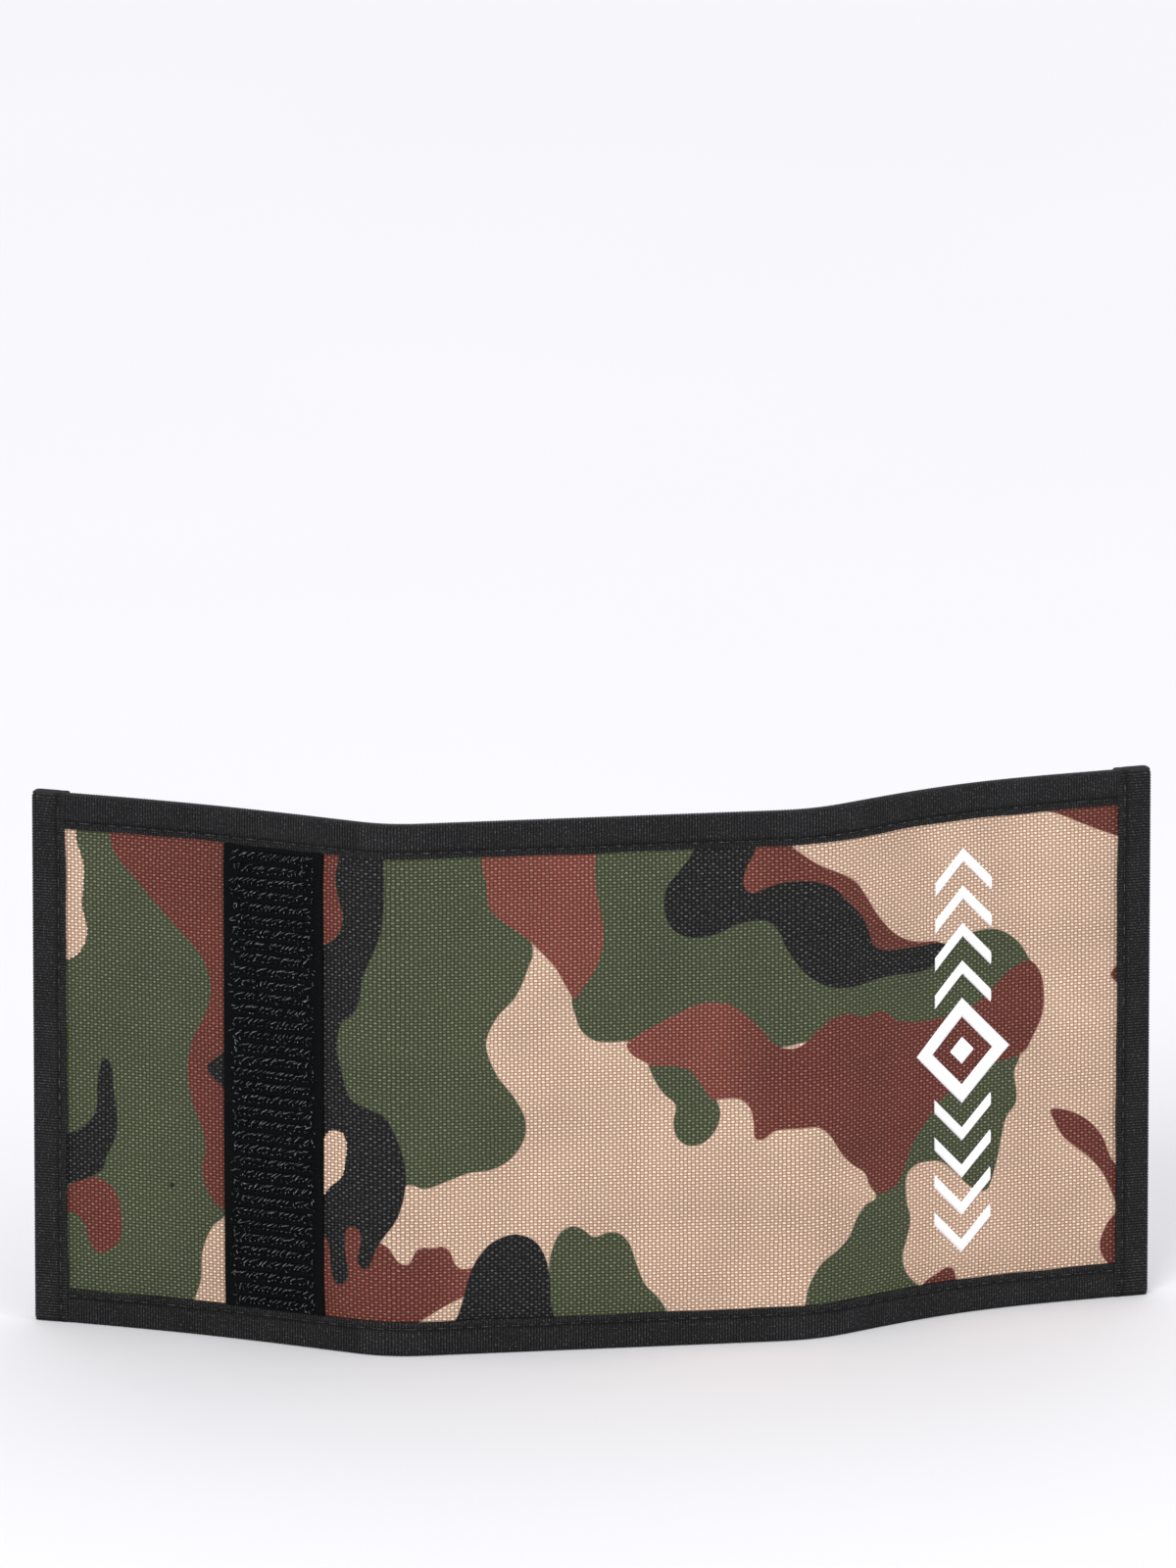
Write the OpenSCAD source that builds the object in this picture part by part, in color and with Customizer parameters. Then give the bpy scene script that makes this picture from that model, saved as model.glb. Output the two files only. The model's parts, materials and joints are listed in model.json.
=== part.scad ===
// Trifold wallet of woven cloth, standing on its lower long edge, partly folded.
// X runs along the middle panel, Z is up, and the outer cloth of the middle panel faces -Y.
// The origin is the centre of the part's footprint, at the surface it stands on.
// Every panel is laid out flat in its own frame: u outward from its fold, y from the
// outer face (0) to the inner face, z up. The folds then carry it to its place.

/* [Overall] */
// Height of the wallet, over both long edges
height = 125; // [100:1:150]
// Distance between the middles of the two folds
centre_w = 97; // [88:1:120]
// How much shorter the left wing is than the space it folds into
left_tip_clearance = 2.8; // [0.8:0.1:4]
// How far the right wing's edge stops short of the left fold when closed
right_reveal = 6.3; // [2:0.1:20]
// Angle between the middle panel and the left wing, from flat
left_fold = 30; // [0:1:90]
// Angle between the middle panel and the right wing, from flat
right_fold = 18; // [0:1:90]

/* [Layers] */
// Outer cloth thickness
cloth_t = 0.6; // [0.3:0.1:1]
// Foam interlining thickness
foam_t = 0.8; // [0.4:0.1:2]
// Lining thickness
lining_t = 0.3; // [0.2:0.05:0.8]
// Space for banknotes between lining and divider
bill_gap = 0.8; // [0.8:0.1:3]
// Divider thickness
divider_t = 0.4; // [0.3:0.05:0.8]
// Space between the top binding and the divider's top edge
divider_clearance = 1.5; // [1:0.5:20]
// Thickness of one pocket cloth
pocket_t = 0.4; // [0.3:0.05:0.8]
// Space between one pocket cloth and the next
pocket_gap = 0.3; // [0.2:0.05:1]

/* [Bindings] */
// Width of the binding tape on each face
binding_w = 8; // [5:0.5:12]
// Thickness of the binding tape
binding_t = 0.7; // [0.4:0.05:1]
// Depth of the tape on the divider's top edge
divider_binding_w = 6; // [4:0.5:8]
// How far the bound layers stop short of the tape's outer edge
edge_inset = 0.9; // [0.7:0.1:2]

/* [Folds] */
// Gap between a layer's end and the fold line it bends about
fold_gap = 0.3; // [0.2:0.05:0.6]
// Air left between folded layers
fold_clearance = 0.4; // [0.3:0.05:2]

/* [Hook and loop] */
// Width of the hook tape
hook_w = 25; // [15:1:30]
// Distance from the left wing's fold line to the hook tape
hook_from_fold = 10.9; // [5:0.1:25]
// Width of the hook tape's plain woven edges
selvedge_w = 2.4; // [1:0.1:4]
// Thickness of the hook and loop tapes' woven grounds
ground_t = 0.9; // [0.5:0.1:1.5]
// Height of the hooks above their ground
hook_h = 1; // [0.6:0.1:2]
// Width of the loop tape
loop_w = 25; // [15:1:30]
// Height of the loop pile above its ground
pile_h = 0.7; // [0.4:0.1:2]
// Distance from the loop tape to the right wing's edge binding
loop_from_binding = 1; // [0.5:0.5:10]

/* [Stitched motif] */
// Space between the stitched band and the bindings above and below it
motif_margin = 6.5; // [1:0.5:20]
// Width of the stitched chevrons
motif_w = 15; // [8:1:20]
// Width of the lozenge in the middle of the band
lozenge_w = 25; // [16:1:30]
// Width of one satin-stitched bar
satin_w = 3.2; // [2:0.1:5]
// Height of the satin stitches above the cloth
satin_t = 0.5; // [0.3:0.1:1]
// Distance from the right wing's fold line to the middle of the band
motif_from_fold = 32.5; // [20:0.5:45]
// Chevrons above the lozenge, and as many below it
chevrons = 4; // [2:1:5]

/* [Card pockets] */
// Space beside the card pockets, to the fold line and to the edge binding
pocket_margin = 4; // [2:0.5:10]
// Drop from one pocket's top edge to the next
pocket_step = 13; // [8:1:20]
// Width of the cloth around the clear window
window_border = 10; // [6:1:14]
// Thickness of the clear window
window_t = 0.25; // [0.15:0.05:0.5]
// Width of the window's edge that lies under the cloth
window_lap = 3; // [2:0.5:5]

/* [Coin pocket] */
// Space beside the coin pocket, to the two fold lines
coin_margin = 3; // [2:0.5:10]
// Depth of the empty coin pocket
coin_depth = 1.2; // [1:0.1:4]
// Width of the pocket's side strips
gusset_w = 3; // [2:0.5:6]
// Cloth between the zip's upper tape and the pocket's top strip
above_tape = 1; // [0.5:0.5:10]
// Height of the slot that shows the zip
zip_slot_h = 8.4; // [7.4:0.1:12]
// Distance from the coin pocket's sides to the zip's slot
zip_slot_inset = 4; // [4:0.5:12]

/* [Zip] */
// How far each zip tape reaches under the pocket cloth
tape_lap = 5; // [3:0.5:8]
// Thickness of the zip tapes
tape_t = 0.4; // [0.3:0.05:0.6]
// Width of one coil
coil_w = 1.6; // [1.2:0.1:2]
// Thickness of the coils
coil_t = 1.2; // [0.8:0.1:1.6]
// Space between the two coils, where the slider's post runs
coil_slot = 0.9; // [0.8:0.1:1.2]
// Length of the slider
slider_l = 7.5; // [6:0.5:12]
// Width of the bail that holds the pull
bail_w = 1.2; // [0.8:0.1:1.6]
// Thickness of the slider's plates and flanges
slider_t = 0.6; // [0.5:0.1:1]
// Space around what runs in the slider
slider_clearance = 0.2; // [0.1:0.05:0.3]
// Length of the pull, from its bar
pull_l = 10; // [8:0.5:11]
// Width of the pull
pull_w = 5; // [4:0.5:7]
// Thickness of the pull
pull_t = 0.8; // [0.6:0.1:1]
// Width of the frame around the pull's eye
pull_frame = 1; // [0.8:0.1:1.4]
// Length of a zip stop
stop_l = 1.6; // [1:0.1:3]

/* [Hidden] */
SIDES = ["left", "right"];
PANELS = ["left_wing", "left_spine", "centre", "right_spine", "right_wing"];

$fn = 48;
overlap = 0.01;         // how far one solid of a union reaches into the next
roll_r = 1;             // rounding where the tape turns over an edge

// Depths, from the outer face of the cloth
foam_y = cloth_t;
lining_y = foam_y + foam_t;
shell_t = lining_y + lining_t;
divider_y = shell_t + bill_gap;
panel_t = divider_y + divider_t;
card_stack = 3 * (pocket_gap + pocket_t);
coin_face = coin_depth + pocket_t;
slip_stack = pocket_gap + pocket_t;

// The zip's heights above the divider, from its tapes to the top of the pull's bail
tape_face = coin_depth;
coil_face = tape_face + coil_t;
plate_under = coil_face + slider_clearance;
plate_face = plate_under + slider_t;
pull_axis_h = plate_face + slider_clearance + pull_t / 2;
bail_under = pull_axis_h + pull_t / 2 + slider_clearance;
bail_face = bail_under + slider_t;

// A fold is a narrow spine between two fold lines, as wide as what it folds over is thick
left_spine_w = bail_face + card_stack + fold_clearance;
hook_t = ground_t + hook_h;
loop_t = ground_t + pile_h;
right_spine_w = left_spine_w + panel_t + slip_stack + loop_t + hook_t + fold_clearance;
left_edge = (centre_w - left_spine_w) / 2;
right_edge = (centre_w - right_spine_w) / 2;
inside_w = left_edge + right_edge;
left_len = inside_w - left_tip_clearance;
right_len = inside_w - right_reveal;
inner_setback = binding_t + fold_clearance;

// Heights
divider_top = height - binding_w - divider_clearance;
coin_top = divider_top - divider_binding_w;
zip_z = coin_top - gusset_w - above_tape - tape_lap - zip_slot_h / 2;

// The coin pocket and its zip, along the middle panel
coin_x0 = -left_edge + coin_margin;
coin_x1 = right_edge - coin_margin;
slot_x0 = coin_x0 + zip_slot_inset;
slot_x1 = coin_x1 - zip_slot_inset;
chain_x0 = slot_x0 + stop_l;
chain_x1 = slot_x1 - stop_l;
slider_x0 = -left_edge + inner_setback + pull_l + fold_clearance;
slider_x = max(slider_x0, chain_x0 + slider_l / 2 + slider_clearance);
chain_half = coil_slot / 2 + coil_w;
slider_half = chain_half + slider_clearance + slider_t;
slider_post = coil_slot - 2 * slider_clearance;
bail_half = slider_l / 2 - slider_t;

// The footprint, which sets the origin
function spine_w(side) = side == "left" ? left_spine_w : right_spine_w;
function edge_x(side) = side == "left" ? left_edge : right_edge;
function wing_len(side) = side == "left" ? left_len : right_len;
function half_fold(side) = (side == "left" ? left_fold : right_fold) / 2;
function tip_x(side, y) = edge_x(side) + spine_w(side) * cos(half_fold(side))
    + wing_len(side) * cos(2 * half_fold(side)) - (y - panel_t) * sin(2 * half_fold(side));
function tip_y(side, y) = panel_t + spine_w(side) * sin(half_fold(side))
    + wing_len(side) * sin(2 * half_fold(side)) + (y - panel_t) * cos(2 * half_fold(side));
back_y = max([for (side = SIDES) tip_y(side, panel_t + binding_t)]);
front_y = -binding_t;
origin_x = (tip_x("right", -binding_t) - tip_x("left", -binding_t)) / 2;
origin_y = (front_y + back_y) / 2;

// ---- Placing ----

// Carries a panel of the given name from its own frame to its place
module place(panel) {
    translate([-origin_x, -origin_y, 0]) {
        if (panel == "centre") children();
        if (panel == "left_spine") mirror([1, 0, 0]) past_fold("left", left_edge) children();
        if (panel == "right_spine") past_fold("right", right_edge) children();
        if (panel == "left_wing") mirror([1, 0, 0]) past_both("left", left_edge) children();
        if (panel == "right_wing") past_both("right", right_edge) children();
    }
}

// Turns what is past a fold line at x about that line, on the panels' inner face
module past_fold(side, x)
    translate([x, panel_t, 0]) rotate(half_fold(side)) translate([0, -panel_t, 0]) children();

module past_both(side, x)
    past_fold(side, x) past_fold(side, spine_w(side)) children();

// ---- Shapes that repeat ----

// A flat rectangle of sheet, given by its low and high corners
module sheet(low, high)
    translate(low) cube(high - low);

// Extrudes an outline drawn in Y and Z along X, from u0 to u1
module along(u0, u1)
    translate([u0, 0, 0]) rotate([90, 0, 90]) linear_extrude(u1 - u0) children();

// Where a panel's layers start and end along its own u
function layer_span(panel) =
    panel == "centre" ? [-left_edge + fold_gap, right_edge - fold_gap] :
    panel == "left_spine" ? [fold_gap, left_spine_w - fold_gap] :
    panel == "right_spine" ? [fold_gap, right_spine_w - fold_gap] :
    panel == "left_wing" ? [fold_gap, left_len - edge_inset] :
    [fold_gap, right_len - edge_inset];

// The same for the tapes on the long edges, which stop at the end bindings
function tape_span(panel) =
    panel == "left_wing" ? [fold_gap, left_len - binding_w] :
    panel == "right_wing" ? [fold_gap, right_len - binding_w] : layer_span(panel);

// One layer of a panel between two depths and two heights
module layer(panel, y0, y1, z0, z1) {
    span = layer_span(panel);
    place(panel) sheet([span[0], y0, z0], [span[1], y1, z1]);
}

// The outside of tape folded over an edge at v = 0, around layers from y0 to y1
module tape_outside(y0, y1, depth) {
    low = y0 - binding_t;
    high = y1 + binding_t;
    r = min(roll_r, (high - low) / 2 - overlap);
    for (y = [low + r, high - r]) translate([y, r]) circle(r);
    translate([low + r, 0]) square([high - low - 2 * r, r + overlap]);
    translate([low, r]) square([high - low, depth - r]);
}

// The same as a U, open towards +v
module folded_tape(y0, y1, depth)
    difference() {
        tape_outside(y0, y1, depth);
        translate([y0, edge_inset]) square([y1 - y0, depth]);
    }

// Clears what stands inside the panel near its fold lines, so that the panels can close
module clear_folds(panel) {
    span = layer_span(panel);
    keep = inner_setback - fold_gap;
    far = panel == "centre" ? span[1] - keep : span[1] + keep;
    if (panel == "left_spine" || panel == "right_spine") children();
    else intersection() {
        children();
        union() {
            translate([-height * 2, -height, -height]) cube([height * 4, height + panel_t, height * 3]);
            translate([span[0] + keep, 0, -height]) cube([far - span[0] - keep, height, height * 3]);
        }
    }
}

// What the bottom binding wraps on each panel, beyond the panel itself
function pocket_stack(panel) =
    panel == "left_wing" ? card_stack :
    panel == "centre" ? coin_face :
    panel == "right_wing" ? slip_stack : 0;

// ---- Panels: outer cloth, foam, lining and divider ----

module cloth(panel) color("#7a5a48")
    layer(panel, 0, cloth_t, edge_inset, height - edge_inset);

module foam(panel) color("#d8d8d2")
    layer(panel, foam_y, lining_y, edge_inset, height - edge_inset);

module lining(panel) color("#2c2d30")
    layer(panel, lining_y, shell_t, edge_inset, height - edge_inset);

module divider(panel) color("#35363a")
    layer(panel, divider_y, panel_t, edge_inset, divider_top - edge_inset);

// ---- Bindings ----

module top_binding(panel) color("#262728") {
    span = tape_span(panel);
    place(panel) translate([0, 0, height]) mirror([0, 0, 1])
        along(span[0], span[1]) folded_tape(0, shell_t, binding_w);
}

module bottom_binding(panel) color("#262728") {
    span = tape_span(panel);
    inner = panel_t + pocket_stack(panel);
    place(panel) clear_folds(panel)
        along(span[0], span[1]) folded_tape(0, inner, binding_w);
}

module divider_binding(panel) color("#262728") {
    span = tape_span(panel);
    place(panel) clear_folds(panel) translate([0, 0, divider_top]) mirror([0, 0, 1])
        along(span[0], span[1]) folded_tape(divider_y, panel_t, divider_binding_w);
}

// The tape over a wing's free edge, closed at its top and bottom
module end_binding(side) color("#262728")
    place(str(side, "_wing")) difference() {
        translate([wing_len(side), 0, 0]) rotate(90)
            linear_extrude(height) tape_outside(0, panel_t, binding_w);
        sheet([0, 0, edge_inset], [wing_len(side) - edge_inset, panel_t, height - edge_inset]);
    }

// ---- Hook and loop ----

// Woven ground on a face at y = 0, with a raised field between its plain edges
module touch_tape(width, raised, length) {
    cube([width, ground_t, length]);
    translate([selvedge_w, 0, 0]) cube([width - 2 * selvedge_w, ground_t + raised, length]);
}

module hook_tape() color("#111415")
    place("left_wing") translate([hook_from_fold, 0, binding_w]) mirror([0, 1, 0])
        touch_tape(hook_w, hook_h, height - 2 * binding_w);

module loop_tape() color("#17191b")
    place("right_wing")
        translate([right_len - binding_w - loop_from_binding - loop_w, panel_t + slip_stack, binding_w])
            touch_tape(loop_w, pile_h, coin_top - binding_w);

// ---- Stitched motif ----

// A chevron that points up, of the given width over all, with its point at the origin
module chevron(width) {
    rise = width / 2;
    polygon([[0, 0], [rise, -rise], [rise, -rise - satin_w], [0, -satin_w],
             [-rise, -rise - satin_w], [-rise, -rise]]);
}

module lozenge(width) polygon([[width / 2, 0], [0, width / 2], [-width / 2, 0], [0, -width / 2]]);

module motif_outline() {
    motif_h = height - 2 * (binding_w + motif_margin);
    pitch = (motif_h - lozenge_w) / 2 / chevrons;
    difference() {
        lozenge(lozenge_w);
        lozenge(lozenge_w - 2 * satin_w * sqrt(2));
    }
    lozenge(satin_w * 2);
    for (flip = [0, 1]) mirror([0, flip]) for (i = [1:chevrons])
        translate([0, lozenge_w / 2 + i * pitch]) chevron(motif_w);
}

module stitched_motif() color("#f4f5f9")
    place("right_wing") translate([motif_from_fold, 0, height / 2])
        rotate([90, 0, 0]) linear_extrude(satin_t) motif_outline();

// ---- Card pockets on the left wing ----

// One pocket cloth, the given number of places out from the divider
module card_pocket(place_out) {
    y = panel_t + (place_out + 1) * pocket_gap + place_out * pocket_t;
    top = coin_top - (place_out + 1) * pocket_step / 2;
    sheet([pocket_margin, y, edge_inset],
          [left_len - binding_w - pocket_margin, y + pocket_t, top - place_out * pocket_step / 2]);
}

module back_card_pocket() color("#303236") place("left_wing") card_pocket(0);
module front_card_pocket() color("#303236") place("left_wing") card_pocket(1);

window_x0 = pocket_margin + window_border;
window_x1 = left_len - binding_w - pocket_margin - window_border;
window_z0 = binding_w + window_border / 2;
window_z1 = coin_top - 2.5 * pocket_step - window_border;
window_y = panel_t + 3 * pocket_gap + 2 * pocket_t;

module window_pocket() color("#303236") place("left_wing") difference() {
    card_pocket(2);
    sheet([window_x0, 0, window_z0], [window_x1, height, window_z1]);
}

module clear_window() color("#c9d4dc", 0.5) place("left_wing")
    sheet([window_x0 - window_lap, window_y - window_t, window_z0 - window_lap],
          [window_x1 + window_lap, window_y, window_z1 + window_lap]);

// ---- Slip pocket on the right wing ----

module slip_pocket() color("#303236") place("right_wing")
    sheet([pocket_margin, panel_t + pocket_gap, edge_inset],
          [right_len - binding_w, panel_t + slip_stack, coin_top - pocket_step]);

// ---- Coin pocket on the middle panel ----

module coin_pocket_front() color("#303236") place("centre")
    sheet([coin_x0, panel_t + coin_depth, edge_inset],
          [coin_x1, panel_t + coin_face, zip_z - zip_slot_h / 2]);

// The pocket cloth above the zip, with the two tabs that close the slot's ends
module coin_pocket_top() color("#303236") place("centre") difference() {
    sheet([coin_x0, panel_t + coin_depth, zip_z - zip_slot_h / 2],
          [coin_x1, panel_t + coin_face, coin_top]);
    sheet([slot_x0, 0, 0], [slot_x1, height, zip_z + zip_slot_h / 2]);
}

module coin_pocket_gusset() color("#2c2d30") place("centre") difference() {
    sheet([coin_x0, panel_t, edge_inset], [coin_x1, panel_t + coin_depth, coin_top]);
    sheet([coin_x0 + gusset_w, 0, edge_inset + gusset_w],
          [coin_x1 - gusset_w, height, coin_top - gusset_w]);
}

// ---- Zip ----

// The lower tape or coil is the upper one mirrored in the zip's middle line
module zip_half(upper) place("centre") translate([0, panel_t, zip_z])
    mirror([0, 0, upper ? 0 : 1]) children();

module zip_tape(upper) color("#1c1d1f") zip_half(upper)
    sheet([slot_x0, tape_face - tape_t, coil_slot / 2], [slot_x1, tape_face, zip_slot_h / 2 + tape_lap]);

module zip_coil(upper) color("#151617") zip_half(upper)
    sheet([chain_x0, tape_face, coil_slot / 2], [chain_x1, coil_face, chain_half]);

module zip_stop(x) color("#8d9092") place("centre") translate([x, panel_t, zip_z])
    sheet([0, tape_face, -chain_half], [stop_l, coil_face, chain_half]);

module zip_slider() color("#3a3c3f") place("centre") translate([slider_x, panel_t, zip_z]) {
    under = tape_face - tape_t - slider_clearance;
    half = slider_l / 2;
    sheet([-half, plate_under, -slider_half], [half, plate_face, slider_half]);
    sheet([-half, under - slider_t / 2, -slider_half], [half, under, slider_half]);
    sheet([-half / 2, under - overlap, -slider_post / 2],
          [half / 2, plate_under + overlap, slider_post / 2]);
    for (flip = [0, 1]) mirror([0, 0, flip])
        sheet([-half, tape_face + slider_clearance, slider_half - slider_t],
              [half, plate_under + overlap, slider_half]);
    for (flip = [0, 1]) mirror([flip, 0, 0])
        sheet([bail_half - slider_t, plate_face - overlap, -bail_w / 2],
              [bail_half, bail_face, bail_w / 2]);
    sheet([-bail_half, bail_under, -bail_w / 2], [bail_half, bail_face, bail_w / 2]);
}

// A bar under the bail, a frame around the eye that the bail stands in, and a grip
module zip_pull() color("#4a4d50") place("centre")
    translate([slider_x, panel_t + pull_axis_h, zip_z]) {
        eye_l = bail_half + pull_frame;
        translate([0, 0, -pull_w / 2]) cylinder(d = pull_t, h = pull_w);
        difference() {
            sheet([0, -pull_t / 2, -pull_w / 2], [pull_l, pull_t / 2, pull_w / 2]);
            sheet([-overlap, -pull_t, pull_frame - pull_w / 2],
                  [eye_l, pull_t, pull_w / 2 - pull_frame]);
        }
    }

// ---- The parts ----

for (panel = PANELS) {
    cloth(panel);
    lining(panel);
    divider(panel);
    top_binding(panel);
    bottom_binding(panel);
    divider_binding(panel);
}
for (panel = ["left_wing", "centre", "right_wing"])
    foam(panel);
for (side = SIDES)
    end_binding(side);
hook_tape();
loop_tape();
stitched_motif();
back_card_pocket();
front_card_pocket();
window_pocket();
clear_window();
slip_pocket();
coin_pocket_front();
coin_pocket_top();
coin_pocket_gusset();
zip_tape(false);  // lower_zip_tape
zip_tape(true);  // upper_zip_tape
zip_coil(false);  // lower_zip_coil
zip_coil(true);  // upper_zip_coil
zip_stop(slot_x0);  // zip_start_stop
zip_stop(chain_x1);  // zip_end_stop
zip_slider();
zip_pull();
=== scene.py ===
"""Trifold wallet of printed Oxford cloth, bound in black grosgrain, standing half open.

Every cloth piece is worked out flat, as the opened wallet lies on a table: s runs along
the wallet from the middle of its centre panel, depth from the outer face inwards, and z
up. One function, lay(), carries those three to their place on the standing wallet.
"""
import json
import math

import bpy
import numpy as np
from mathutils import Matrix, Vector


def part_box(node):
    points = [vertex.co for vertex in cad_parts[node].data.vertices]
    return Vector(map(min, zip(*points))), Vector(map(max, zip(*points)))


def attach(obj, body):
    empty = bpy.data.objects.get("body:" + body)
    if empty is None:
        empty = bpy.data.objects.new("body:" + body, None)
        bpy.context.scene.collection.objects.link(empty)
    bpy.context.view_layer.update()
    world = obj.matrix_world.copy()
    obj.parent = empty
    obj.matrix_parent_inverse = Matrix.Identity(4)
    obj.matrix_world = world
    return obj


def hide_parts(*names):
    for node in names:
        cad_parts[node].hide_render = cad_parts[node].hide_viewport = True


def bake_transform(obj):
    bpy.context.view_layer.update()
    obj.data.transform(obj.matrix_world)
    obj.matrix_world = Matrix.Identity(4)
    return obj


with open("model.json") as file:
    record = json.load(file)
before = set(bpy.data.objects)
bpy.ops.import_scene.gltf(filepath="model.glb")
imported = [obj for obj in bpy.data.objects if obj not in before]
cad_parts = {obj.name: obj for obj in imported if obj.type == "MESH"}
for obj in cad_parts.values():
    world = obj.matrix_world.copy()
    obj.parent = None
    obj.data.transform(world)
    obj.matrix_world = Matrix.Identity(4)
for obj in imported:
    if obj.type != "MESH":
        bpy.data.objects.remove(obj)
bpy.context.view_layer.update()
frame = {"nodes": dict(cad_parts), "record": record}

# ---- Sizes read from the frame, in millimetres ----

MM = 0.001
HINGES = {
    j["name"]: np.array(j["pos_m"]) / MM
    for j in frame["record"]["behaviour"]["joints"]
}
inner_y = HINGES["left_fold"][1]
outer_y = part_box("centre_cloth")[0].y / MM
panel_t = inner_y - outer_y
left_fold_line = HINGES["left_fold_outer"] - HINGES["left_fold"]
right_fold_line = HINGES["right_fold_outer"] - HINGES["right_fold"]
left_spine = math.hypot(left_fold_line[0], left_fold_line[1])
right_spine = math.hypot(right_fold_line[0], right_fold_line[1])
inside_w = HINGES["right_fold"][0] - HINGES["left_fold"][0]
fold_s = (inside_w + (left_spine + right_spine) / 2) / 2
left_edge = fold_s - left_spine / 2
right_edge = fold_s - right_spine / 2
middle_x = HINGES["left_fold"][0] + left_edge
left_turn = 2 * math.atan2(-left_fold_line[1], -left_fold_line[0])
right_turn = 2 * math.atan2(right_fold_line[1], right_fold_line[0])

# Each rigid panel: a point on its inner face, that point's s, and the panel's turn in plan
PANELS = {
    "centre": (HINGES["left_fold"], -left_edge, 0.0),
    "left_wing": (HINGES["left_fold_outer"], -left_edge - left_spine, left_turn),
    "right_wing": (HINGES["right_fold_outer"], right_edge + right_spine, right_turn),
}


def flat_box(node, panel="centre"):
    """Lowest and highest corner of a CAD node in s, depth and z, with its panel turned back flat."""
    hinge, s, turn = PANELS[panel]
    co = np.array([v.co for v in frame["nodes"][node].data.vertices]) / MM
    x = co[:, 0] - hinge[0]
    y = co[:, 1] - hinge[1]
    along = s + x * math.cos(turn) + y * math.sin(turn)
    depth = panel_t - x * math.sin(turn) + y * math.cos(turn)
    flat = np.stack([along, depth, co[:, 2]], -1)
    return flat.min(0), flat.max(0)


left_tip = flat_box("left_end_binding", "left_wing")[0][0]
right_tip = flat_box("right_end_binding", "right_wing")[1][0]
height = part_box("left_end_binding")[1].z / MM
cloth_low, cloth_high = flat_box("centre_cloth")
lining_low, lining_high = flat_box("centre_lining")
foam_low, foam_high = flat_box("centre_foam")
divider_low, divider_high = flat_box("centre_divider")
shell_t = lining_high[1]
binding_t = -flat_box("centre_top_binding")[0][1]
binding_w = height - flat_box("centre_top_binding")[0][2]
edge_inset = cloth_low[2]
divider_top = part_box("centre_divider_binding")[1].z / MM
divider_tape_w = divider_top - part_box("centre_divider_binding")[0].z / MM

# ---- How the wallet lies when it stands: a line in plan along the panels' inner face ----

LEFT_BEND, LEFT_BEND_W, LEFT_RELAX = 33.9, 17.8, 7.6
RIGHT_BEND, RIGHT_BEND_W, RIGHT_RELAX = 27.8, 20.5, 18.2
LINE_S = np.arange(-160, 160.1, 0.25)


def ramp(x):
    """0 below 0 and 1 above 1, with a smooth step between."""
    x = np.clip(x, 0, 1)
    return x * x * (3 - 2 * x)


LINE_TURN = np.radians(
    RIGHT_BEND * ramp((LINE_S - fold_s) / RIGHT_BEND_W + 0.5)
    - RIGHT_RELAX * ramp((LINE_S - 60) / 60)
    - LEFT_BEND * ramp((-LINE_S - fold_s) / LEFT_BEND_W + 0.5)
    + LEFT_RELAX * ramp((-LINE_S - 60) / 70)
)


def run(slope):
    """The running total of a slope along the line, zero at the middle of the centre panel."""
    steps = (slope[1:] + slope[:-1]) / 2 * np.diff(LINE_S)
    total = np.concatenate([[0], np.cumsum(steps)])
    return total - np.interp(0, LINE_S, total)


LINE_X = run(np.cos(LINE_TURN))
LINE_Y = run(np.sin(LINE_TURN))


def swell(s, z):
    """How far the padded outer cloth stands out, in mm: rising as a quarter sine over the 9 mm
    inside the bindings to about half a millimetre, with slow waves."""
    side = np.minimum(s - left_tip, right_tip - s) - binding_w
    rise = np.minimum(z, height - z) - binding_w
    edge = np.clip(np.minimum(side, rise) / 9, 0, 1)
    waves = np.sin(s / 11 + np.sin(z / 17)) * np.sin(z / 13 + 1.1 * np.sin(s / 23))
    return (0.45 + 0.16 * waves) * np.sin(edge * math.pi / 2)


def lay(flat):
    """Carries points given as s, depth and z to the row frame: along the plan line, then out
    from it by the depth, square to the line. The outer layers swell and the inner ones don't."""
    s, depth, z = flat[..., 0], flat[..., 1], flat[..., 2]
    depth = depth - swell(s, z) * np.clip(1 - depth / shell_t, 0, 1)
    turn = np.interp(s, LINE_S, LINE_TURN)
    x = middle_x + np.interp(s, LINE_S, LINE_X) - (depth - panel_t) * np.sin(turn)
    y = inner_y + np.interp(s, LINE_S, LINE_Y) + (depth - panel_t) * np.cos(turn)
    return np.stack([x, y, z], -1) * MM


# Stretches of the wallet along s. BENDS gives each fold stretch the two bodies on either side
# and two s across its spine; pieces on those stretches stay fixed in place, on no body.
LEFT_STRIP = 10
STRETCHES = {
    "left_wing": (left_tip, -fold_s - LEFT_STRIP),
    "left_fold_outer": (-fold_s - LEFT_STRIP, -fold_s),
    "left_fold_inner": (-fold_s, -fold_s + LEFT_STRIP),
    "centre": (-fold_s + LEFT_STRIP, fold_s - right_spine),
    "right_fold_inner": (fold_s - right_spine, fold_s),
    "right_fold_outer": (fold_s, fold_s + right_spine),
    "right_wing": (fold_s + right_spine, right_tip),
}
BENDS = {
    "left_fold_outer": ("left_spine", "left_wing", -fold_s, -fold_s - left_spine),
    "left_fold_inner": ("centre", "left_spine", -fold_s + left_spine, -fold_s),
    "right_fold_inner": ("centre", "right_spine", fold_s - right_spine, fold_s),
    "right_fold_outer": ("right_spine", "right_wing", fold_s, fold_s + right_spine),
}
# The CAD panel whose nodes each stretch stands for
STANDS_FOR = {
    "left_wing": "left_wing",
    "left_fold_inner": "left_spine",
    "centre": "centre",
    "right_fold_inner": "right_spine",
    "right_wing": "right_wing",
}


# ---- Meshes ----


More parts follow.
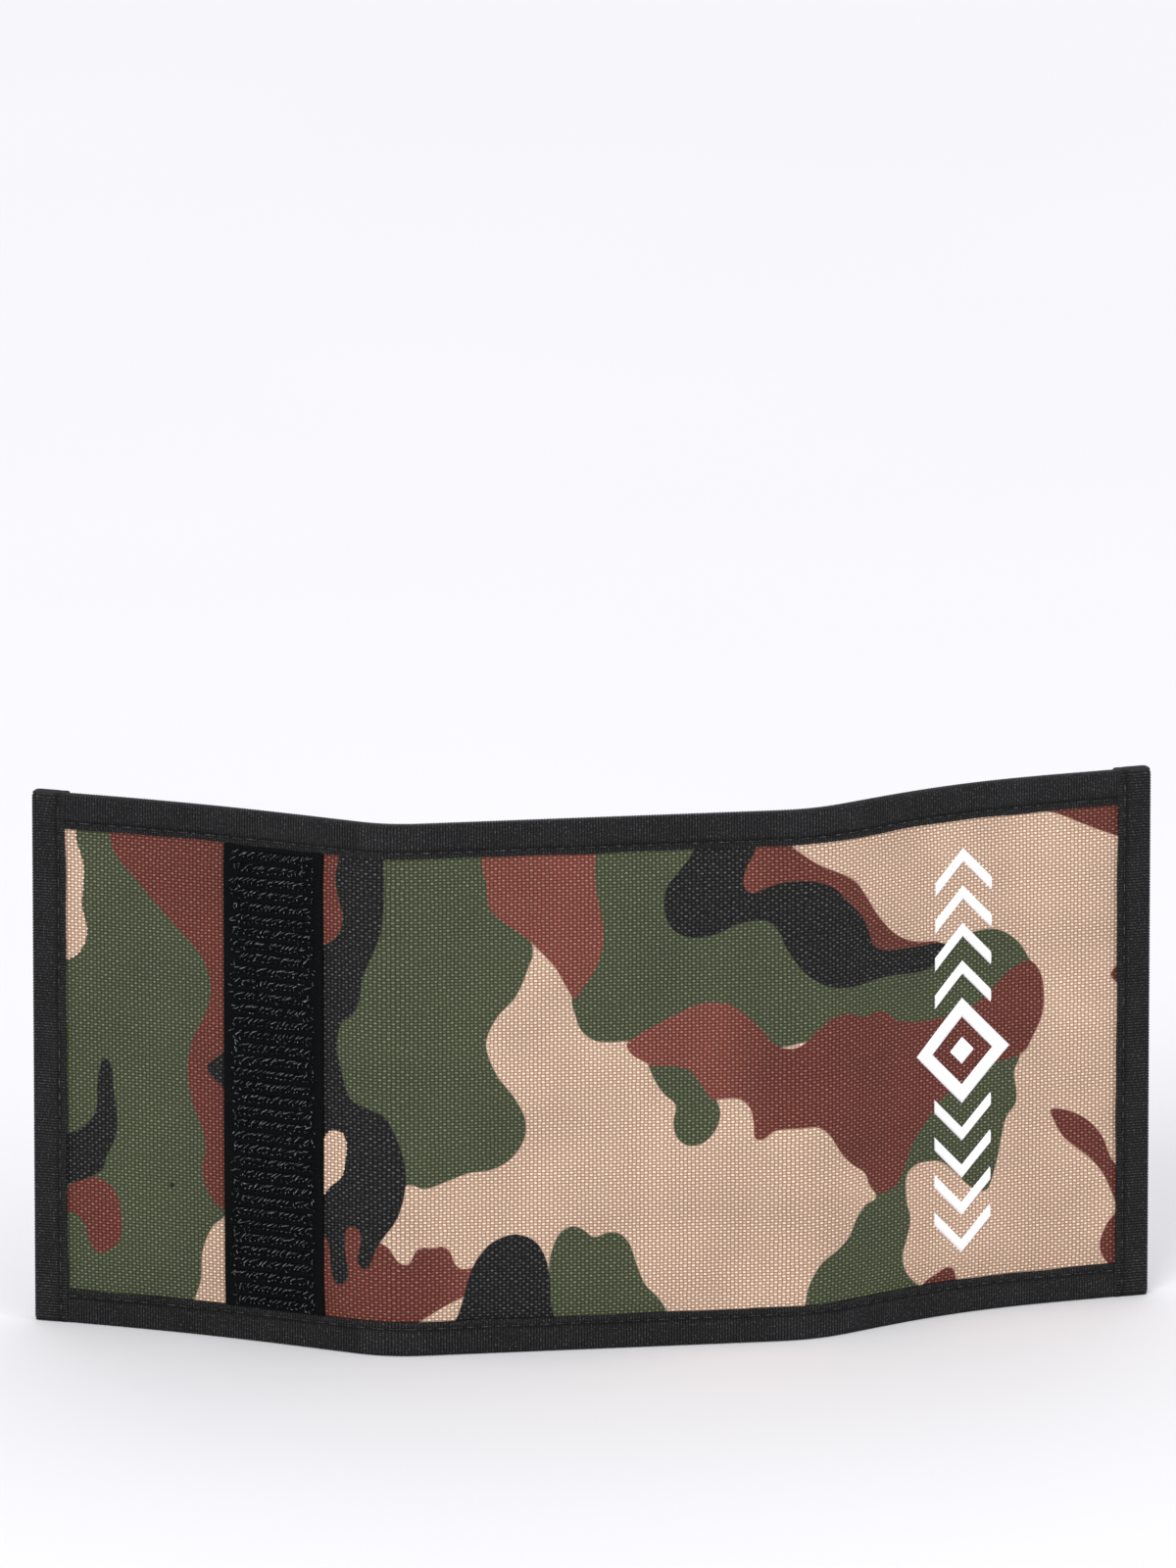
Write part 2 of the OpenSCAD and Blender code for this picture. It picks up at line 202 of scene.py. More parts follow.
def facing_out(points, faces):
    """The faces of a closed mesh turned to point outwards together: the volume under all its
    triangles, seen from its middle, is below 0 when they point inwards."""
    faces = [np.atleast_2d(f) for f in faces]
    p = points - points.mean(0)
    volume = sum(
        np.einsum("ij,ij->", p[f[:, 0]], np.cross(p[f[:, k]], p[f[:, k + 1]]))
        for f in faces
        for k in range(1, f.shape[1] - 1)
    )
    return [f[:, ::-1] for f in faces] if volume < 0 else faces


def piece(name, flat, faces, material, body, replaces=(), values=None):
    """A closed mesh of points given as s, depth and z, carried to their place. Faces are index
    arrays, one for each number of corners. values are numbers kept at each point by name."""
    points = lay(flat)
    faces = facing_out(points, faces)
    mesh = bpy.data.meshes.new(name)
    mesh.vertices.add(len(points))
    mesh.vertices.foreach_set("co", points.astype(np.float32).ravel())
    corners = np.concatenate([f.ravel() for f in faces])
    sides = np.concatenate([np.full(len(f), f.shape[1]) for f in faces])
    mesh.loops.add(len(corners))
    mesh.loops.foreach_set("vertex_index", corners.astype(np.int32))
    mesh.polygons.add(len(sides))
    firsts = np.concatenate([[0], np.cumsum(sides)[:-1]])
    mesh.polygons.foreach_set("loop_start", firsts.astype(np.int32))
    mesh.update(calc_edges=True)
    mesh.validate()
    measure = mesh.attributes.new("flat", "FLOAT_VECTOR", "POINT")
    measure.data.foreach_set("vector", flat.astype(np.float32).ravel())
    for key, value in (values or {}).items():
        attribute = mesh.attributes.new(key, "FLOAT", "POINT")
        attribute.data.foreach_set("value", value.astype(np.float32).ravel())
    mesh.shade_smooth()
    mesh.set_sharp_from_angle(angle=math.radians(50))
    mesh.materials.append(material)
    made = bpy.data.objects.new(name, mesh)
    bpy.context.scene.collection.objects.link(made)
    if replaces:
        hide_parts(*replaces)
    if body in BENDS:
        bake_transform(made)
    else:
        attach(made, body)
    return made


def steps(start, end, size):
    """Even steps from start to end, each about the given size."""
    return np.linspace(start, end, max(2, int(round(abs(end - start) / size)) + 1))


def slab(s_lines, z_lines, front, back, keep=None):
    """A closed sheet on a grid of lines: a front and a back at their own depths, joined by a
    rim round every edge. keep says which cells are cloth, for a sheet with a window in it."""
    m, n = len(s_lines), len(z_lines)
    s, z = np.meshgrid(s_lines, z_lines, indexing="ij")
    if keep is None:
        keep = np.ones((m - 1, n - 1), bool)
    sides = [
        np.stack([s, np.broadcast_to(depth, s.shape), z], -1).reshape(-1, 3)
        for depth in (front, back)
    ]
    index = np.arange(m * n).reshape(m, n)
    around = [index[:-1, :-1], index[1:, :-1], index[1:, 1:], index[:-1, 1:]]
    a, b, c, d = (corner[keep] for corner in around)
    quads = [np.stack([a, b, c, d], -1), np.stack([d, c, b, a], -1) + m * n]
    padded = np.pad(keep, 1)
    neighbours = [padded[1:-1, :-2], padded[2:, 1:-1], padded[1:-1, 2:], padded[:-2, 1:-1]]
    for k, beside in enumerate(neighbours):
        open_side = keep & ~beside
        p, q = around[k][open_side], around[(k + 1) % 4][open_side]
        quads.append(np.stack([q, p, p + m * n, q + m * n], -1))
    quads = np.concatenate(quads)
    used, faces = np.unique(quads, return_inverse=True)
    return np.concatenate(sides)[used], [faces.reshape(quads.shape)]


def loft(loops):
    """A closed solid from stations along a path, each a closed loop of points."""
    m, n = loops.shape[:2]
    index = np.arange(m * n).reshape(m, n)
    along = np.roll(index, -1, axis=1)
    quads = np.stack([index[:-1], along[:-1], along[1:], index[1:]], -1).reshape(-1, 4)
    return loops.reshape(-1, 3), [quads, index[0][::-1], index[-1]]


def filaments(paths, radius, sides=5, up=(0, -1, 0)):
    """Round threads, one along each path: a ring of points square to the path at each station,
    closed by a flat cap at both ends. radius is one number, or one for each station."""
    k, m = paths.shape[:2]
    along = np.gradient(paths, axis=1)
    along /= np.linalg.norm(along, axis=-1, keepdims=True) + 1e-9
    across = np.cross(along, np.array(up, float))
    across /= np.linalg.norm(across, axis=-1, keepdims=True) + 1e-9
    above = np.cross(across, along)
    turn = np.arange(sides) * 2 * math.pi / sides
    radius = np.broadcast_to(radius, (m,))[None, :, None, None]
    ring = across[:, :, None] * np.cos(turn)[:, None] + above[:, :, None] * np.sin(turn)[:, None]
    points = paths[:, :, None] + radius * ring
    index = np.arange(k * m * sides).reshape(k, m, sides)
    beside = np.roll(index, -1, axis=2)
    quads = np.stack([index[:, :-1], beside[:, :-1], beside[:, 1:], index[:, 1:]], -1)
    return points.reshape(-1, 3), [quads.reshape(-1, 4), index[:, 0, ::-1], index[:, -1]]


def joined(*parts):
    """Several pieces of mesh as one: their points and faces, one after another."""
    points, faces, start = [], [], 0
    for p, f in parts:
        points.append(p)
        faces += [np.atleast_2d(x) + start for x in f]
        start += len(p)
    return np.concatenate(points), faces


# ---- Materials ----


def linear(code):
    """An sRGB hex colour as linear red, green, blue and full alpha."""
    srgb = np.array([int(code[i : i + 2], 16) / 255 for i in (1, 3, 5)])
    value = np.where(srgb <= 0.04045, srgb / 12.92, ((srgb + 0.055) / 1.055) ** 2.4)
    return (*value.tolist(), 1.0)


def add(tree, kind, inputs=None, **settings):
    """Adds a node with its settings. Each input is a value or another node's output. Gives
    back the node's first output."""
    made = tree.nodes.new("ShaderNode" + kind)
    for key, value in settings.items():
        setattr(made, key, value)
    for key, value in (inputs or {}).items():
        if isinstance(value, bpy.types.NodeSocket):
            tree.links.new(value, made.inputs[key])
        else:
            made.inputs[key].default_value = value
    return made.outputs[0] if made.outputs else made


def material(name, **principled):
    """A new material whose Principled shader has the given settings, with its tree and shader."""
    made = bpy.data.materials.new(name)
    made.use_nodes = True
    shader = made.node_tree.nodes["Principled BSDF"]
    for key, value in principled.items():
        shader.inputs[key.replace("_", " ")].default_value = value
    return made, made.node_tree, shader


def woven(tree, s_pitch, z_pitch):
    """The flat place and the height of a plain weave. Where the product of one cosine along s
    and one up z is above 0 a weft thread lies on top: a dash, long along s and rounded across.
    Elsewhere the warp lies on top, lower. Both fall to 0 in the gaps. Threads wander a little."""
    flat = add(tree, "Attribute", attribute_name="flat").node.outputs["Vector"]
    drift = add(tree, "TexNoise", {"Vector": flat, "Scale": 0.3, "Detail": 1.0}).node.outputs["Color"]
    drift = add(tree, "VectorMath", {0: drift, 1: (0.5, 0.5, 0.5)}, operation="SUBTRACT")
    place = add(tree, "VectorMath", {0: drift, 1: (0.5, 0.0, 0.35), 2: flat}, operation="MULTIPLY_ADD")
    part = add(tree, "SeparateXYZ", {0: place}).node.outputs
    waves = []
    for axis, pitch in ((0, s_pitch), (2, z_pitch)):
        wave = add(tree, "Math", {0: part[axis], 1: math.pi / pitch}, operation="MULTIPLY")
        waves.append(add(tree, "Math", {0: wave}, operation="COSINE"))
    both = add(tree, "Math", {0: waves[0], 1: waves[1]}, operation="MULTIPLY")
    on_top = add(tree, "Math", {0: both, 1: 0.0}, operation="GREATER_THAN")
    across_s, across_z = (add(tree, "Math", {0: wave}, operation="ABSOLUTE") for wave in waves)
    long_s = add(tree, "Math", {0: across_s, 1: 0.75}, operation="POWER")
    long_z = add(tree, "Math", {0: across_z, 1: 0.75}, operation="POWER")
    weft = add(tree, "Math", {0: long_s, 1: across_z}, operation="MULTIPLY")
    warp = add(tree, "Math", {0: long_z, 1: across_s}, operation="MULTIPLY")
    warp = add(tree, "Math", {0: warp, 1: 0.4}, operation="MULTIPLY")
    return flat, add(tree, "Mix", {0: on_top, 2: warp, 3: weft}, data_type="FLOAT")


def bump(tree, shader, height_socket, distance_mm):
    """Gives the shader a bump of the given depth."""
    normal = add(tree, "Bump", {"Height": height_socket, "Distance": distance_mm * MM, "Strength": 1.0})
    tree.links.new(normal, shader.inputs["Normal"])


def plain_cloth(name, code, s_pitch, z_pitch, roughness, depth_mm, glint=0.012, gloss=0.25):
    """Woven cloth dyed one colour, with painted shade between its threads, painted light on their
    crowns and small painted glints on some.
    """
    made, tree, shader = material(name, Roughness=roughness, Specular_IOR_Level=gloss)
    flat, raised = woven(tree, s_pitch, z_pitch)
    patches = add(tree, "TexNoise", {"Vector": flat, "Scale": 0.09, "Detail": 3.0})
    fibres = add(tree, "TexNoise", {"Vector": flat, "Scale": 1.7, "Detail": 2.0})
    colour = linear(code)
    # low and high: painted shade between the threads and painted light on their crowns, mixed by the
    # weave's height
    low = [c * 0.55 for c in colour[:3]] + [1.0]
    high = [c * 1.25 for c in colour[:3]] + [1.0]
    shade = add(tree, "Mix", {0: raised, 6: low, 7: high}, data_type="RGBA").node.outputs[2]
    tone = add(tree, "MapRange", {0: patches, 1: 0.3, 2: 0.7, 3: 0.82, 4: 1.15})
    shade = add(tree, "VectorMath", {0: shade, "Scale": tone}, operation="SCALE")
    # Painted glints: small pale specks added on the crowns of some threads, standing for light caught on
    # the yarn
    glints = add(tree, "MapRange", {0: fibres, 1: 0.52, 2: 0.72, 3: 0.0, 4: glint})
    glints = add(tree, "Math", {0: glints, 1: raised}, operation="MULTIPLY")
    shade = add(tree, "VectorMath", {0: shade, 1: glints}, operation="ADD")
    tree.links.new(shade, shader.inputs["Base Color"])
    bump(tree, shader, raised, depth_mm)
    return made


# The camouflage print: its tan ground and the three inks over it
TAN = "#D8B69D"
GREEN = "#4A5036"
BROWN = "#6D3428"
BLACK = "#0D0C0C"
WORN_BROWN = "#824538"
WEFT_PITCH, WARP_PITCH = 0.91, 0.70


def printed_oxford():
    """Polyester Oxford cloth, roller printed: weft floats in a brick pattern with painted light on
    their crowns and painted shade in the gaps between them, painted highlights on the crowns of
    some threads, and ink edges that step along the threads. The brown has faded a little on
    the centre panel, which is handled most."""
    made, tree, shader = material("printed_oxford", Roughness=0.7, Specular_IOR_Level=0.16)
    flat, raised = woven(tree, WEFT_PITCH, WARP_PITCH)
    fibres = add(tree, "TexNoise", {"Vector": flat, "Scale": 1.1, "Detail": 3.0, "Roughness": 0.6})
    patches = add(tree, "TexNoise", {"Vector": flat, "Scale": 0.05, "Detail": 2.0})
    step = add(tree, "MapRange", {0: raised, 1: 0.0, 2: 1.0, 3: 0.12, 4: -0.12})
    part = add(tree, "SeparateXYZ", {0: flat}).node.outputs
    middle = add(tree, "Math", {0: part[0]}, operation="ABSOLUTE")
    worn = add(tree, "MapRange", {0: middle, 1: 25.0, 2: 42.0, 3: 1.0, 4: 0.0},
               interpolation_type="SMOOTHSTEP")
    brown = add(tree, "Mix", {0: worn, 6: linear(BROWN), 7: linear(WORN_BROWN)},
                data_type="RGBA").node.outputs[2]
    colour = linear(TAN)
    inks = {"green": linear(GREEN), "brown": brown, "black": linear(BLACK), "bare": linear(TAN)}
    for key, ink in inks.items():
        inside = add(tree, "Attribute", attribute_name=key).node.outputs["Fac"]
        inside = add(tree, "Math", {0: inside, 1: step}, operation="ADD")
        inside = add(tree, "MapRange", {0: inside, 1: 0.1, 2: -0.1, 3: 0.0, 4: 1.0})
        colour = add(tree, "Mix", {0: inside, 6: colour, 7: ink}, data_type="RGBA").node.outputs[2]
    # Painted shade in the gaps between threads and painted light on their crowns, from the weave's height
    shade = add(tree, "MapRange", {0: raised, 1: 0.0, 2: 1.0, 3: 0.3, 4: 1.6})
    tone = add(tree, "MapRange", {0: patches, 1: 0.3, 2: 0.7, 3: 0.9, 4: 1.1})
    shade = add(tree, "Math", {0: shade, 1: tone}, operation="MULTIPLY")
    colour = add(tree, "VectorMath", {0: colour, "Scale": shade}, operation="SCALE")
    # Painted highlights: whitish light added on the crowns of some threads, standing for the gloss of the
    # polyester filament
    pale = add(tree, "MapRange", {0: fibres, 1: 0.4, 2: 0.72, 3: 0.02, 4: 0.2})
    pale = add(tree, "Math", {0: pale, 1: raised}, operation="MULTIPLY")
    pale = add(tree, "Math", {0: pale, 1: raised}, operation="MULTIPLY")
    colour = add(tree, "VectorMath", {0: colour, 1: pale}, operation="ADD")
    tree.links.new(colour, shader.inputs["Base Color"])
    bump(tree, shader, raised, 0.28)
    return made


TAPE_WARP_PITCH = 0.4


def grosgrain():
    """Ribbed polyester tape: the ribs are in the mesh, and the fine warp that runs over them
    gives faint lines along the tape. Its colour carries painted light and shade: a painted sheen
    on each rib, painted shade between the ribs and in the crease along the stitching, and
    painted glints on some rib tops."""
    made, tree, shader = material("grosgrain_tape", Roughness=0.62, Specular_IOR_Level=0.14)
    flat = add(tree, "Attribute", attribute_name="tape").node.outputs["Vector"]
    part = add(tree, "SeparateXYZ", {0: flat}).node.outputs
    lines = add(tree, "Math", {0: part[1], 1: 2 * math.pi / TAPE_WARP_PITCH}, operation="MULTIPLY")
    lines = add(tree, "Math", {0: lines}, operation="SINE")
    lines = add(tree, "MapRange", {0: lines, 1: -1.0, 2: 1.0, 3: 0.0, 4: 1.0})
    fibres = add(tree, "TexNoise", {"Vector": flat, "Scale": 2.4, "Detail": 3.0})
    patches = add(tree, "TexNoise", {"Vector": flat, "Scale": 0.12, "Detail": 2.0})
    ribs = add(tree, "Attribute", attribute_name="rib").node.outputs["Fac"]
    # Painted light and shade from the rib values: lit rib tops, shade between the ribs, and painted shade
    # in the crease along the stitching
    shade = add(tree, "MapRange", {0: ribs, 1: 0.0, 2: 1.0, 3: 0.0, 4: 2.6})
    tone = add(tree, "MapRange", {0: patches, 1: 0.3, 2: 0.7, 3: 0.75, 4: 1.25})
    shade = add(tree, "Math", {0: shade, 1: tone}, operation="MULTIPLY")
    colour = add(tree, "VectorMath", {0: linear("#121213")[:3], "Scale": shade}, operation="SCALE")
    # Painted glints: pale specks added on some rib tops
    glint = add(tree, "MapRange", {0: fibres, 1: 0.54, 2: 0.72, 3: 0.0, 4: 0.09})
    glint = add(tree, "Math", {0: glint, 1: ribs}, operation="MULTIPLY")
    colour = add(tree, "VectorMath", {0: colour, 1: glint}, operation="ADD")
    tree.links.new(colour, shader.inputs["Base Color"])
    bump(tree, shader, lines, 0.05)
    return made


def smooth_thread(name, code, roughness, sheen=0.0, noise=6.0, low=0.8, high=1.15, gloss=0.5):
    """Spun or drawn thread: lighter and darker places along its fibres, and some gloss. low and
    high are how many times its own colour the darkest and the palest fibres have; a low below 0
    leaves only the palest ones showing. With a high far above 1, as on the hooks and the sewing
    thread, those palest places are painted glints: bright specks standing for light caught on
    glossy filament."""
    made, tree, shader = material(
        name, Roughness=roughness, Specular_IOR_Level=gloss, Sheen_Weight=sheen
    )
    flat = add(tree, "Attribute", attribute_name="flat").node.outputs["Vector"]
    fibres = add(tree, "TexNoise", {"Vector": flat, "Scale": noise, "Detail": 2.0})
    tone = add(tree, "MapRange", {0: fibres, 1: 0.3, 2: 0.7, 3: low, 4: high})
    colour = add(tree, "VectorMath", {0: linear(code)[:3], "Scale": tone}, operation="SCALE")
    tree.links.new(colour, shader.inputs["Base Color"])
    bump(tree, shader, fibres, 0.04)
    return made


def felt():
    """Needled polyester felt: pale, matt and fuzzy."""
    made, tree, shader = material("needled_felt", Roughness=0.95)
    flat = add(tree, "Attribute", attribute_name="flat").node.outputs["Vector"]
    fuzz = add(tree, "TexNoise", {"Vector": flat, "Scale": 1.5, "Detail": 6.0})
    low, high = linear("#B9B9B2"), linear("#DEDED8")
    colour = add(tree, "Mix", {0: fuzz, 6: low, 7: high}, data_type="RGBA").node.outputs[2]
    tree.links.new(colour, shader.inputs["Base Color"])
    bump(tree, shader, fuzz, 0.2)
    return made


def clear_vinyl():
    """Clear plasticised PVC film: smooth and glossy, a little smoky, with a slow ripple."""
    made, tree, shader = material(
        "clear_vinyl", Base_Color=linear("#2E3236"), Roughness=0.12, IOR=1.53, Alpha=0.4
    )
    flat = add(tree, "Attribute", attribute_name="flat").node.outputs["Vector"]
    ripple = add(tree, "TexNoise", {"Vector": flat, "Scale": 0.05, "Detail": 0.0})
    bump(tree, shader, ripple, 0.15)
    return made


def cast_zinc():
    """Die-cast zinc with a black nickel finish: dark metal, tumbled smooth, paler on worn places."""
    made, tree, shader = material("black_nickel_zinc", Metallic=1.0, Roughness=0.34)
    place = add(tree, "TexCoord").node.outputs["Object"]
    blotches = add(tree, "TexNoise", {"Vector": place, "Scale": 900.0, "Detail": 4.0})
    low, high = linear("#4A4B4E"), linear("#84868A")
    colour = add(tree, "Mix", {0: blotches, 6: low, 7: high}, data_type="RGBA").node.outputs[2]
    gloss = add(tree, "MapRange", {0: blotches, 1: 0.3, 2: 0.7, 3: 0.26, 4: 0.46})
    tree.links.new(colour, shader.inputs["Base Color"])
    tree.links.new(gloss, shader.inputs["Roughness"])
    bump(tree, shader, blotches, 0.02)
    return made


OXFORD = printed_oxford()
GROSGRAIN = grosgrain()
LINING = plain_cloth("nylon_taffeta", "#242528", 0.5, 0.45, 0.55, 0.05)
POCKET = plain_cloth("nylon_pack_cloth", "#2E3034", 0.7, 0.6, 0.6, 0.09)
FELT = felt()
TAPE_GROUND = plain_cloth(
    "woven_nylon_ground", "#090A0B", 0.9, 0.55, 0.8, 0.12, glint=0.004, gloss=0.06
)
# The hooks are dark with painted glints: bright specks standing for light caught on the glossy
# monofilament
HOOKS = smooth_thread("nylon_monofilament", "#131415", 0.22, noise=0.9, low=-8.0, high=24.0)
PILE = smooth_thread("brushed_nylon_loop", "#1B1C1E", 0.75, sheen=0.3)
# The sewing thread is black with painted glints: bright specks standing for light caught on the glossy
# thread
THREAD = smooth_thread(
    "polyester_sewing_thread", "#0C0C0D", 0.4, noise=1.2, low=-7.0, high=12.0, gloss=0.4
)
EMBROIDERY = smooth_thread("white_rayon_thread", "#F1F0F3", 0.45, sheen=0.2, low=0.94, high=1.03)
VINYL = clear_vinyl()
ZIP_TAPE = plain_cloth("zip_tape_twill", "#18191B", 0.55, 0.9, 0.7, 0.1)
ZIP_COIL = smooth_thread("polyester_coil", "#1A1B1D", 0.38)
ZINC = cast_zinc()

# ---- The printed pattern ----


def blob(*knots):
    """A closed outline that runs smoothly through its knots: a Catmull-Rom curve, with 6 points
    from each knot to the next."""
    p = np.array(knots, float)
    before, after, later = np.roll(p, 1, 0), np.roll(p, -1, 0), np.roll(p, -2, 0)
    t = (np.arange(6) / 6)[None, :, None]
    p, before, after, later = (q[:, None] for q in (p, before, after, later))
    curve = (
        2 * p
        + (after - before) * t
        + (2 * before - 5 * p + 4 * after - later) * t**2
        + (3 * p - before - 3 * after + later) * t**3
    ) / 2
    return curve.reshape(-1, 2)


def distance(outlines, s, z, reach=3.0):
    """Signed distance in mm to the nearest of some closed outlines, below 0 inside one. It is
    only worked out near each outline, and is reach everywhere else."""
    nearest = np.full(s.shape, reach)
    for line in outlines:
        low, high = line.min(0) - reach, line.max(0) + reach
        near = (s > low[0]) & (s < high[0]) & (z > low[1]) & (z < high[1])
        if not near.any():
            continue
        x, y = s[near][:, None], z[near][:, None]
        x0, y0 = line.T
        x1, y1 = np.roll(line, -1, 0).T
        dx, dy = x1 - x0, y1 - y0
        t = np.clip(((x - x0) * dx + (y - y0) * dy) / (dx * dx + dy * dy + 1e-9), 0, 1)
        away = np.hypot(x - x0 - t * dx, y - y0 - t * dy).min(1)
        crossed = ((y0 > y) != (y1 > y)) & (x < x0 + (y - y0) * dx / (dy + 1e-9 * (dy == 0)))
        signed = np.where(crossed.sum(1) % 2 == 1, -away, away)
        nearest[near] = np.minimum(nearest[near], signed)
    return nearest


